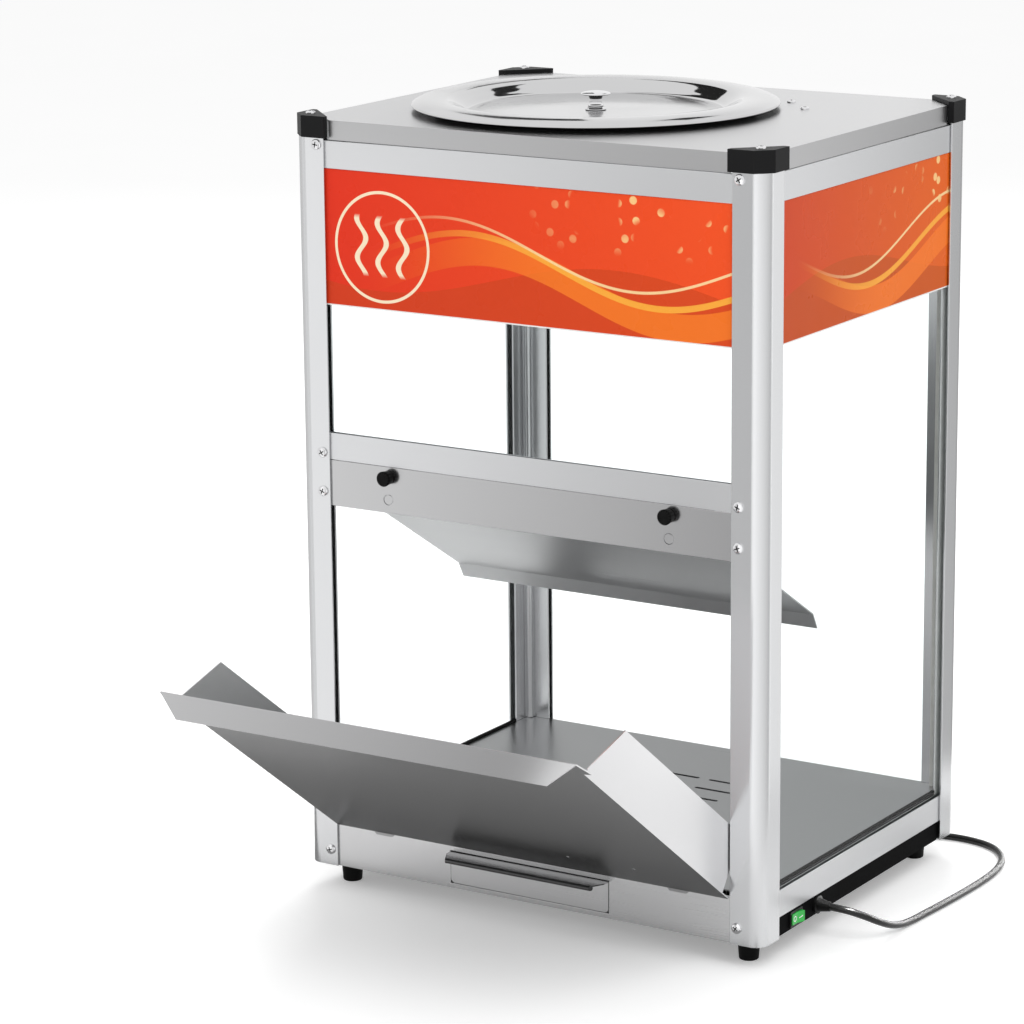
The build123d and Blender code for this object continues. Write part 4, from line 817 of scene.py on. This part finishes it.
    def glow(self, name, bm):
        """A card that only mirrored rays see, and its tree."""
        card = placed(name, mesh_from(name, bm))
        material, tree, shader = blank(name)
        shader.inputs["Base Color"].default_value = (0, 0, 0, 1)
        shader.inputs["Specular IOR Level"].default_value = 0
        shader.inputs["Emission Color"].default_value = (1, 1, 1, 1)
        card.data.materials.append(material)
        card.visible_camera = False
        card.visible_diffuse = False
        card.visible_shadow = False
        card.visible_transmission = False
        return card, tree

    def lit(self, tree, level):
        """Sets a card's light."""
        tree.links.new(level, tree.nodes["Principled BSDF"].inputs["Emission Strength"])

    def card(self, name, start, end, low, high, first, last, radius=0.55):
        """One upright curved card; its light goes evenly from first to last along it."""
        half = (end - start) / 2
        count = max(2, round(math.degrees(half) / 3))
        bm = bmesh.new()
        rows = []
        for height in (low, high):
            turns = [half * (2 * i / count - 1) for i in range(count + 1)]
            rows.append([
                bm.verts.new((radius * math.cos(a), radius * math.sin(a), height)) for a in turns
            ])
        for i in range(count):
            bm.faces.new((rows[0][i], rows[0][i + 1], rows[1][i + 1], rows[1][i]))
        card, tree = self.glow(name, bm)
        card.location = (0, MIDDLE_Y, 0)
        card.rotation_euler = (0, 0, (start + end - math.pi) / 2)
        place = separated(tree, coords(tree))
        turn = calc(tree, "ARCTAN2", place[1], place[0])
        self.lit(tree, ranged(tree, turn, -half, half, first, last))

    def camera(self, scene, stage):
        """The photo's camera: its place, turn, height of view and tilt."""
        data = bpy.data.cameras.new("camera")
        camera = placed("camera", data)
        scene.camera = camera
        data.sensor_width = 36
        data.lens = stage.lens
        data.clip_end = 100
        a, e = stage.camera_azimuth, stage.camera_elevation
        back = Vector((math.sin(a) * math.cos(e), -math.cos(a) * math.cos(e), math.sin(e)))
        right = Vector((math.cos(a), math.sin(a), 0))
        up = back.cross(right)
        level = Matrix((right, up, back)).transposed()
        turn = level @ Matrix.Rotation(stage.camera_roll, 3, "Z")
        camera.matrix_world = Matrix.Translation(stage.camera_place) @ turn.to_4x4()


# ---------------------------------------------------------------- frame
SIDE_CHANNEL = (3 * MM, 15 * MM)    # depths between which a face lies in a post's side slot


class WARMER_OT_frame(bpy.types.Operator):
    """Give the posts and rails their satin anodised finish"""

    bl_idname = "warmer.frame"
    bl_label = "Posts and rails"

    def execute(self, context):
        made = finishes(context)
        width = context.scene.warmer_sizes.frame_round
        for side in ("front_left", "front_right", "rear_left", "rear_right"):
            post = dressed("post_" + side, made["posts"], width, 20 * MM)
            # faces on the floor of each post's outward side slot take a pale matte finish, lighter than the
            # aluminium round them
            post.data.materials.append(made["channel"])
            for face in post.data.polygons:
                depth = RIGHT - abs(face.center.x)
                outward = face.normal.x * face.center.x > 0.9 * abs(face.center.x)
                if outward and SIDE_CHANNEL[0] < depth < SIDE_CHANNEL[1]:
                    face.material_index = 1
        for rail in (
            "top_rail_front", "top_rail_rear", "top_rail_left", "top_rail_right", "mid_rail_front",
            "bottom_rail_left", "bottom_rail_rear", "bottom_rail_right",
        ):
            dressed(rail, made["rails"], width, 10 * MM)
        return {"FINISHED"}


# ---------------------------------------------------------------- glazing and print
class WARMER_OT_panes(bpy.types.Operator):
    """Glaze the windows and print the banners"""

    bl_idname = "warmer.panes"
    bl_label = "Windows and banners"

    def execute(self, context):
        made = finishes(context)
        for side in ("front", "rear", "left", "right"):
            dressed(side + "_window", made["clear_window"])
        for side in ("front", "left", "right"):
            dressed(side + "_banner", made[side + "_print"])
        return {"FINISHED"}


# ---------------------------------------------------------------- sheet metal
COLLAR_REACH = 150 * MM         # faces nearer the lid's axis belong to the collar
SPARE_HOLE_DROP = 29 * MM       # of the spare holes below the apron's top


class WARMER_OT_sheets(bpy.types.Operator):
    """Finish the top, apron, front panel, baffle, floor and base"""

    bl_idname = "warmer.sheets"
    bl_label = "Sheet metal"

    def execute(self, context):
        made = finishes(context)
        width = context.scene.warmer_sizes.sheet_round
        for node, finish in (
            ("top_panel", "top_sheet"), ("apron_plate", "apron_sheet"), ("front_panel", "front_sheet"),
            ("flow_baffle", "inner_sheet"), ("floor_plate", "inner_sheet"), ("base_pan", "base_enamel"),
            ("drawer_runners", "zinc"), ("drawer_tray", "inner_sheet"), ("lamp_bracket", "inner_sheet"),
            ("heater_supports", "zinc"),
        ):
            piece = dressed(node, made[finish], width, 6 * MM)
            if node == "apron_plate":
                self.plugs(made["apron_sheet"])
            if node == "top_panel":
                self.skirt_and_collar(piece.data, made)
        return {"FINISHED"}

    def skirt_and_collar(self, mesh, made):
        """The turned-down skirt keeps its own grain and is a darker copy of the top's steel, as painted
        shade; the collar under the lid is given black rubber, which paints the shadow in the gap under the
        lid's rim.
        """
        mesh.materials.append(made["top_skirt_painted_shade"])
        mesh.materials.append(made["seal_rubber"])
        for face in mesh.polygons:
            if abs(face.normal.z) <= 0.5:
                # skirt faces take painted shade; collar faces take dark rubber as a painted shadow under the
                # lid's rim
                collar = math.dist(face.center[:2], (LID_X, LID_Y)) < COLLAR_REACH
                face.material_index = 2 if collar else 1

    def plugs(self, material):
        """Flush discs in the two spare holes of the apron."""
        low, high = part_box("apron_plate")
        whole = bmesh.new()
        for side in ("left", "right"):
            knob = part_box("thumb_knob_" + side)
            x = (knob[0].x + knob[1].x) / 2
            centre = Vector((x, low.y + 0.1 * MM, high.z - SPARE_HOLE_DROP))
            outline = [(0, 0), (4.3, 0), (4.5, -0.2), (4.5, -0.6), (0, -0.6)]
            joined(whole, spun(outline, centre, 32, (0, -1, 0)))
        as_piece("spare_hole_plugs", whole, material, "cabinet")


class WARMER_OT_door(bpy.types.Operator):
    """Finish the folded serving door and the drawer front"""

    bl_idname = "warmer.door"
    bl_label = "Door and drawer front"

    def execute(self, context):
        made = finishes(context)
        width = context.scene.warmer_sizes.sheet_round
        door = dressed("serving_door", made["door_sheet"], width, 6 * MM)
        # the outer side, the wings and the tongues take lit and shaded copies of the door's steel: painted
        # light and shade
        for finish in ("door_outside_painted_shade", "door_painted_light", "door_tongue_painted_shade"):
            door.data.materials.append(made[finish])
        self.sides_of_door(door.data)
        pull = dressed("drawer_front", made["front_sheet"], width, 6 * MM)
        # the pull and its hem take darker copies of the front steel: painted shade
        for finish in ("pull_painted_shade", "pull_hem_painted_shade"):
            pull.data.materials.append(made[finish])
        self.sides_of_pull(pull.data)
        return {"FINISHED"}

    def sides_of_door(self, mesh):
        """1 is the outer side of the large sheet, a darker copy of the steel as a painted reflection of the
        shadowed floor;
        2 its inner side, the wings and their small tops, a lighter copy as painted light; 3 the faces that
        look straight to the front, a darker copy as painted shade."""
        largest = max(mesh.polygons, key=lambda face: face.area * (face.normal.z < -0.3))
        outward = largest.normal.copy()
        parallel, small_top = 0.999, 0.002
        for face in mesh.polygons:
            normal = face.normal
            if normal.dot(outward) > parallel:
                face.material_index = 1
            elif normal.dot(outward) < -parallel:
                face.material_index = 2
            elif abs(normal.x) > 0.9 and normal.x * face.center.x > 0:
                face.material_index = 2
            elif normal.z > 0.8 and face.area < small_top:
                face.material_index = 2
            elif normal.y < -0.98:
                face.material_index = 3

    def sides_of_pull(self, mesh):
        """1 is the part that stands out of the front panel, a darker copy of the steel as painted shade; 2
        its hem, a much darker copy as painted shade.
        """
        face_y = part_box("front_panel")[0].y
        hem_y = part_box("drawer_front")[0].y + 4 * MM
        for face in mesh.polygons:
            if face.center.y < face_y - 0.5 * MM:
                face.material_index = 2 if face.center.y < hem_y else 1


# ---------------------------------------------------------------- lid
LID_CONE = (108 * MM, 130 * MM)     # radii between which the lid is a full mirror
LID_ZERO = 1.4 * MM                 # zero height of the dish's outline, above the knob's foot


class WARMER_OT_lid(bpy.types.Operator):
    """Spin the mirror-finished lid and turn its knob"""

    bl_idname = "warmer.lid"
    bl_label = "Lid"

    def execute(self, context):
        made = finishes(context)
        steps = context.scene.warmer_sizes.spin_steps
        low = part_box("lid_knob")[0]
        centre = Vector((LID_X, LID_Y, low.z + LID_ZERO))
        dish = as_piece(
            "spun_dish", spun(self.dish(), centre, 2 * steps), made["spun_lid"], "lid",
            ("lid_dish",),
        )
        # faces that look down take the dark copy of the polished steel: painted shade on the dish's underside
        # and in the gap under its rim
        dish.data.materials.append(made["underside_painted_shade"])
        dish.data.materials.append(made["lid_middle"])
        for face in dish.data.polygons:
            if face.normal.z < -0.1:
                face.material_index = 1
            elif not LID_CONE[0] < math.dist(face.center[:2], (LID_X, LID_Y)) < LID_CONE[1]:
                face.material_index = 2
        foot = Vector((LID_X, LID_Y, low.z))
        turned = spun(self.knob(), foot, steps)
        knob = as_piece("pull_knob", turned, made["chrome"], "lid", ("lid_knob",))
        # the same painted shade under the knob's head and bead
        knob.data.materials.append(made["underside_painted_shade"])
        for face in knob.data.polygons:
            if face.normal.z < -0.25:
                face.material_index = 1
        return {"FINISHED"}

    def dish(self):
        """Recess, cone, crown and rolled rim; then back along the underside."""
        upper = [(2.2, -1.4), (60, -1.4), (108, -1.4)]
        upper += curve_through((108, -1.4), (114, -1.4), (115, 1.6), (119.5, 4.2))
        upper += curve_through((119.5, 4.2), (124, 7.2), (127, 10.8), (139, 10.8))
        upper += curve_through((139, 10.8), (147, 10.8), (152, 9.8), (156, 7.8))
        upper += curve_through((156, 7.8), (158.6, 6.5), (160, 6.0), (160, 5.0), 6)
        rim = curve_through((160, 5.0), (160, 4.2), (158.6, 4.2), (158.6, 5.2), 6)
        under = [(156, 6.9), (150, 8.9), (139, 9.8), (130, 9.2), (124.6, 6.0), (119.8, 3.2)]
        under += [(115.4, -0.4), (108, -2.4), (60, -2.4), (2.2, -2.4), (2.2, -1.4)]
        return upper + rim + under

    def knob(self):
        """Foot flange, bead, waist and flared head."""
        outline = [(0, 0), (8.6, 0), (9.2, 0.5), (9.2, 1.2), (8.4, 1.9), (6.8, 2.2)]
        outline += curve_through((6.8, 2.2), (6.0, 2.5), (7.2, 3.4), (6.6, 4.4), 6)
        outline += curve_through((6.6, 4.4), (4.6, 5.2), (5.0, 9.2), (6.2, 12.0), 8)
        outline += curve_through((6.2, 12.0), (7.2, 13.2), (12.4, 12.6), (13.0, 13.9), 8)
        outline += curve_through((13.0, 13.9), (13.0, 15.4), (8.0, 16.2), (0, 16.2), 8)
        return outline


# ---------------------------------------------------------------- fasteners
HEAD_EDGE = 0.42        # share of a head's height at its rim
HEAD_CROWN = 2.4        # power of its crown: higher is flatter
CROSS_TAPER = 0.72      # of the recess, from its top to its foot
SHANK_REACH = 2.5       # length of a shank in radii of its head


def cross_head(radius, height, shank, depth, turn):
    """A pan head with a cross recess, seated at z = 0, with its shank below."""
    cells = 9
    bm = bmesh.new()
    bmesh.ops.create_grid(bm, x_segments=cells, y_segments=cells, size=1)
    middle = cells // 2
    for face in bm.faces:
        at = face.calc_center_median() * cells / 2
        row, column = abs(round(at.x)), abs(round(at.y))
        face.material_index = 1 if min(row, column) == 0 and max(row, column) < middle - 1 else 0
    for vert in bm.verts:
        x, y = vert.co.x, vert.co.y
        vert.co.x = x * math.sqrt(1 - y * y / 2)
        vert.co.y = y * math.sqrt(1 - x * x / 2)
        out = min(1.0, vert.co.xy.length)
        crown = math.sqrt(max(0.0, 1 - out ** HEAD_CROWN))
        vert.co.z = height * (HEAD_EDGE + (1 - HEAD_EDGE) * crown)
        vert.co.x *= radius
        vert.co.y *= radius
    cross = [face for face in bm.faces if face.material_index == 1]
    sunk = bmesh.ops.extrude_face_region(bm, geom=cross)
    bmesh.ops.delete(bm, geom=cross, context="FACES_ONLY")
    deep = [v for v in sunk["geom"] if isinstance(v, bmesh.types.BMVert)]
    bmesh.ops.translate(bm, vec=(0, 0, -depth), verts=deep)
    bmesh.ops.scale(bm, vec=(CROSS_TAPER, CROSS_TAPER, 1), verts=deep)
    rim = [edge for edge in bm.edges if edge.is_boundary]
    for drop, share in (
        (-height * HEAD_EDGE, 1.0), (0.0, shank / radius), (-SHANK_REACH * radius, 1.0),
    ):
        ring = bmesh.ops.extrude_edge_only(bm, edges=rim)["geom"]
        verts = [v for v in ring if isinstance(v, bmesh.types.BMVert)]
        rim = [e for e in ring if isinstance(e, bmesh.types.BMEdge) and e.is_boundary]
        bmesh.ops.translate(bm, vec=(0, 0, drop), verts=verts)
        bmesh.ops.scale(bm, vec=(share, share, 1), verts=verts)
    bmesh.ops.holes_fill(bm, edges=rim, sides=0)
    bmesh.ops.recalc_face_normals(bm, faces=bm.faces)
    for edge in bm.edges:
        edge.smooth = edge.calc_face_angle(0) < CREASE
    for face in bm.faces:
        face.smooth = True
        # faces sunk into the cross take the dark recess steel: painted shade
        within = face.calc_center_median().xy.length < 0.75 * radius
        face.material_index = 1 if within and face.calc_center_median().z < height - 0.4 * depth else 0
    bmesh.ops.rotate(bm, cent=(0, 0, 0), matrix=Matrix.Rotation(turn, 3, "Z"), verts=bm.verts)
    return bm


def heads(name, places, axes, radius, height, material, node, shank=2.0 * MM):
    """One piece of like screws in place of the node; places are the points their heads seat on."""
    whole = bmesh.new()
    for number, place in enumerate(places):
        screw = cross_head(radius, height, shank, 0.55 * height, 0.9 * number + 0.3)
        bmesh.ops.transform(screw, matrix=standing(place, axes[number]), verts=screw.verts)
        joined(whole, screw)
    piece = as_piece(name, whole, material, body_of(node), (node,))
    # the recess steel paints shade in the cross
    piece.data.materials.append(FINISHES["recess"])
    return piece


def islands(node):
    """Boxes of a node's separate solids, lowest and highest corners."""
    bm = bmesh.new()
    bm.from_mesh(NODES[node].data)
    bmesh.ops.remove_doubles(bm, verts=bm.verts, dist=WELD)
    left = set(bm.verts)
    boxes = []
    while left:
        start = left.pop()
        group, queue = [start], [start]
        while queue:
            for edge in queue.pop().link_edges:
                for vert in edge.verts:
                    if vert in left:
                        left.remove(vert)
                        queue.append(vert)
                        group.append(vert)
        low = Vector(min(v.co[i] for v in group) for i in range(3))
        high = Vector(max(v.co[i] for v in group) for i in range(3))
        boxes.append((low, high))
    bm.free()
    boxes.sort(key=lambda box: tuple(round(c, 4) for c in box[0]))
    return boxes


class WARMER_OT_fasteners(bpy.types.Operator):
    """Set the screws and nuts"""

    bl_idname = "warmer.fasteners"
    bl_label = "Fasteners"

    def execute(self, context):
        made = finishes(context)
        steel = made["chrome"]
        places, axes = [], []
        for low, high in islands("post_screws"):
            front = low.y < MIDDLE_Y
            x, z = (low.x + high.x) / 2, (low.z + high.z) / 2
            places.append(Vector((x, FRONT if front else REAR, z)))
            axes.append((0, -1, 0) if front else (0, 1, 0))
        heads(
            "post_screw_heads", places, axes, radius=4.6 * MM, height=2.6 * MM, material=steel,
            node="post_screws",
        )
        for node, radius, height in (("cap_screws", 4.3, 2.4), ("lamp_screws", 3.8, 2.2)):
            boxes = islands(node)
            places = [
                Vector(((a.x + b.x) / 2, (a.y + b.y) / 2, b.z - height * MM)) for a, b in boxes
            ]
            axes = [(0, 0, 1)] * len(places)
            heads(node + "_heads", places, axes, radius * MM, height * MM, steel, node)
        for node in ("foot_nuts", "stud_nuts", "foot_screws", "lid_knob_screw"):
            dressed(node, made["zinc"])
        return {"FINISHED"}


# ---------------------------------------------------------------- moulded parts
class WARMER_OT_moulded(bpy.types.Operator):
    """Finish the corner caps, feet and floor seals"""

    bl_idname = "warmer.moulded"
    bl_label = "Caps, feet and seals"

    def execute(self, context):
        made = finishes(context)
        dressed("corner_caps", made["cap_plastic"], 0.5 * MM, 3 * MM)
        dressed("feet", made["foot_rubber"])
        dressed("floor_seals", made["seal_rubber"], 0.4 * MM, 3 * MM)
        dressed("lamp_lead_cover", made["cover_white"], 0.2 * MM, 6 * MM)
        return {"FINISHED"}


class WARMER_OT_knobs(bpy.types.Operator):
    """Turn and flute the two thumb knobs that hold the baffle"""

    bl_idname = "warmer.knobs"
    bl_label = "Thumb knobs"

    def execute(self, context):
        made = finishes(context)
        for side in ("left", "right"):
            node = "thumb_knob_" + side
            dressed(node, made["knob_" + side], 0.15 * MM, 1.5 * MM)
        return {"FINISHED"}


class WARMER_OT_switch(bpy.types.Operator):
    """Finish the rocker switch with its two marks"""

    bl_idname = "warmer.switch"
    bl_label = "Switch"

    def execute(self, context):
        made = finishes(context)
        dressed("switch_housing", made["switch_black"], 0.3 * MM, 2 * MM)
        rocker = dressed("rocker", made["switch_green"], 0.4 * MM, 4 * MM)
        halves = sorted(
            (face for face in rocker.data.polygons if face.normal.x > 0.9 and face.area > 20 * MM * MM),
            key=lambda face: face.center.y,
        )
        whole = bmesh.new()
        if len(halves) > 1:
            ring = [(1.7, -0.05), (1.7, 0.05), (2.5, 0.05), (2.5, -0.05), (1.7, -0.05)]
            first, last = halves[0], halves[-1]
            joined(whole, spun(ring, first.center, 32, first.normal))
            bar = bmesh.new()
            bmesh.ops.create_cube(bar, size=1 * MM)
            bmesh.ops.scale(bar, vec=(0.8, 4.6, 0.1), verts=bar.verts)
            bmesh.ops.transform(bar, matrix=standing(last.center, last.normal), verts=bar.verts)
            joined(whole, bar)
        as_piece("rocker_marks", whole, made["switch_mark"], "rocker")
        return {"FINISHED"}


# ---------------------------------------------------------------- heated base and lamp
class WARMER_OT_inside(bpy.types.Operator):
    """Finish the elements, terminals, leads and the lamp"""

    bl_idname = "warmer.inside"
    bl_label = "Inner parts"

    def execute(self, context):
        made = finishes(context)
        for node, finish in (
            ("heating_elements", "element"), ("terminal_block", "ceramic"), ("thermostat", "ceramic"),
            ("inner_wires", "wire_red"), ("lamp_holder", "ceramic"), ("lamp_bulb", "bulb_glass"),
        ):
            dressed(node, made[finish])
        return {"FINISHED"}


# ---------------------------------------------------------------- mains cord
EXIT = Vector((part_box("cord_gland")[1].x, MIDDLE_Y - 0.080, BASE + 8.3 * MM))
COIL_CENTRE = Vector((0.030, MIDDLE_Y + 0.2424, 0.0041))
COIL_RADIUS = 0.046             # of the outermost turn
COIL_HALF_TURNS = 6             # of each layer
COIL_LAYER = 0.007              # from turn to turn and from layer to layer
LEAD_OUT = 0.022                # straight end, up to the plug


class WARMER_OT_cord(bpy.types.Operator):
    """Lay the mains cord, its coil, the tie, the relief and the plug"""

    bl_idname = "warmer.cord"
    bl_label = "Mains cord"

    def route(self):
        """Out of the gland, down to the counter and round the rear corner to the coil.

        Each point has its place from the exit along X and Y, and its height.
        """
        x, y, z = EXIT
        r = 3.2 * MM
        lay_y = COIL_CENTRE.y - COIL_RADIUS
        offsets = [
            (0, 0, z), (0.014, 0, z), (0.028, 0.008, z - 0.0055), (0.0365, 0.022, z - 0.014),
            (0.040, 0.040, z - 0.022), (0.042, 0.062, r), (0.0445, 0.096, r), (0.048, 0.140, r),
            (0.050, 0.190, r), (0.0485, 0.230, r), (0.038, 0.266, r), (0.015, 0.290, r),
            (-0.018, 0.297, r), (-0.050, 0.292, r), (-0.084, 0.283, r + 0.0001),
            (-0.124, 0.279, r + 0.0004),
        ]
        points = [Vector((x + dx, y + dy, height)) for dx, dy, height in offsets]
        points.append(Vector((x - 0.163, lay_y + 0.0006, COIL_CENTRE.z - 0.0001)))
        points.append(Vector((COIL_CENTRE.x + 0.0244, lay_y, COIL_CENTRE.z)))
        return points

    def coil(self):
        """Half turns in on the lower layer, up in one half turn, and out on the upper layer."""
        steps = 9
        pitch = COIL_LAYER
        points = []
        at = Vector((COIL_CENTRE.x, COIL_CENTRE.y - COIL_RADIUS, COIL_CENTRE.z))
        side, heading, radius = 1, -1, COIL_RADIUS

        def turn(step, climb):
            nonlocal at, side, heading
            spread = 1 / math.cos(math.pi / steps / 2)
            for i in range(steps):
                angle = math.pi * (i + 0.5) / steps
                points.append(Vector((
                    at.x + heading * step * spread * math.sin(angle),
                    at.y + side * step * (1 - spread * math.cos(angle)),
                    at.z + climb * (i + 0.5) / steps,
                )))
            at = Vector((at.x, at.y + side * 2 * step, at.z + climb))
            side, heading = -side, -heading

        for _ in range(COIL_HALF_TURNS):
            turn(radius, 0)
            radius -= pitch / 2
        turn(radius, pitch)
        for _ in range(COIL_HALF_TURNS):
            radius += pitch / 2
            turn(radius, 0)
        points.append(Vector((at.x + 0.007, at.y, at.z)))
        points.append(Vector((at.x + LEAD_OUT, at.y, at.z)))
        return points

    def execute(self, context):
        made = finishes(context)
        sizes = context.scene.warmer_sizes
        data = bpy.data.curves.new("mains_cord", "CURVE")
        data.dimensions = "3D"
        data.bevel_depth = sizes.cord_diameter / 2
        data.bevel_resolution = 6
        data.resolution_u = 6
        data.use_fill_caps = True
        spline = data.splines.new("NURBS")
        points = self.route() + self.coil()
        spline.points.add(len(points) - 1)
        for target, point in zip(spline.points, points):
            target.co = (*point, 1)
        spline.order_u = 3
        spline.use_endpoint_u = True
        data.materials.append(made["cord_skin"])
        cord = as_object("mains_cord", data, "cabinet", ("cord", "cord_coil"))
        tie = dressed("cord_tie", made["tie_band"], 0.15 * MM, 2 * MM)
        gland = dressed("cord_gland", made["gland_skin"])
        plug = dressed("plug_body", made["plug_skin"], 0.8 * MM, 3 * MM)
        pins = dressed("plug_pins", made["brass"], 0.3 * MM, 2 * MM)
        for piece in (cord, gland, plug):
            bpy.data.collections["glossed"].objects.link(piece)
        return {"FINISHED"}


# ---------------------------------------------------------------- panel and registration
OPERATORS = (
    WARMER_OT_stage, WARMER_OT_frame, WARMER_OT_panes, WARMER_OT_sheets, WARMER_OT_door, WARMER_OT_lid,
    WARMER_OT_fasteners, WARMER_OT_moulded, WARMER_OT_knobs, WARMER_OT_switch, WARMER_OT_inside,
    WARMER_OT_cord,
)


class WARMER_PT_build(bpy.types.Panel):
    """Lists the steps that dress the warmer"""

    bl_idname = "WARMER_PT_build"
    bl_label = "Chip warmer"
    bl_space_type = "VIEW_3D"
    bl_region_type = "UI"
    bl_category = "Warmer"

    def draw(self, context):
        for operator in OPERATORS:
            self.layout.operator(operator.bl_idname)


GROUPS = (WarmerStage, WarmerFinish, WarmerSizes)


def register():
    for item in (*GROUPS, *OPERATORS, WARMER_PT_build):
        bpy.utils.register_class(item)
    bpy.types.Scene.warmer_stage = PointerProperty(type=WarmerStage)
    bpy.types.Scene.warmer_finish = PointerProperty(type=WarmerFinish)
    bpy.types.Scene.warmer_sizes = PointerProperty(type=WarmerSizes)


def unregister():
    del bpy.types.Scene.warmer_sizes
    del bpy.types.Scene.warmer_finish
    del bpy.types.Scene.warmer_stage
    for item in reversed((*GROUPS, *OPERATORS, WARMER_PT_build)):
        bpy.utils.unregister_class(item)


def main():
    register()
    for operator in OPERATORS:
        area, name = operator.bl_idname.split(".")
        getattr(getattr(bpy.ops, area), name)()


if __name__ == "__main__":
    main()
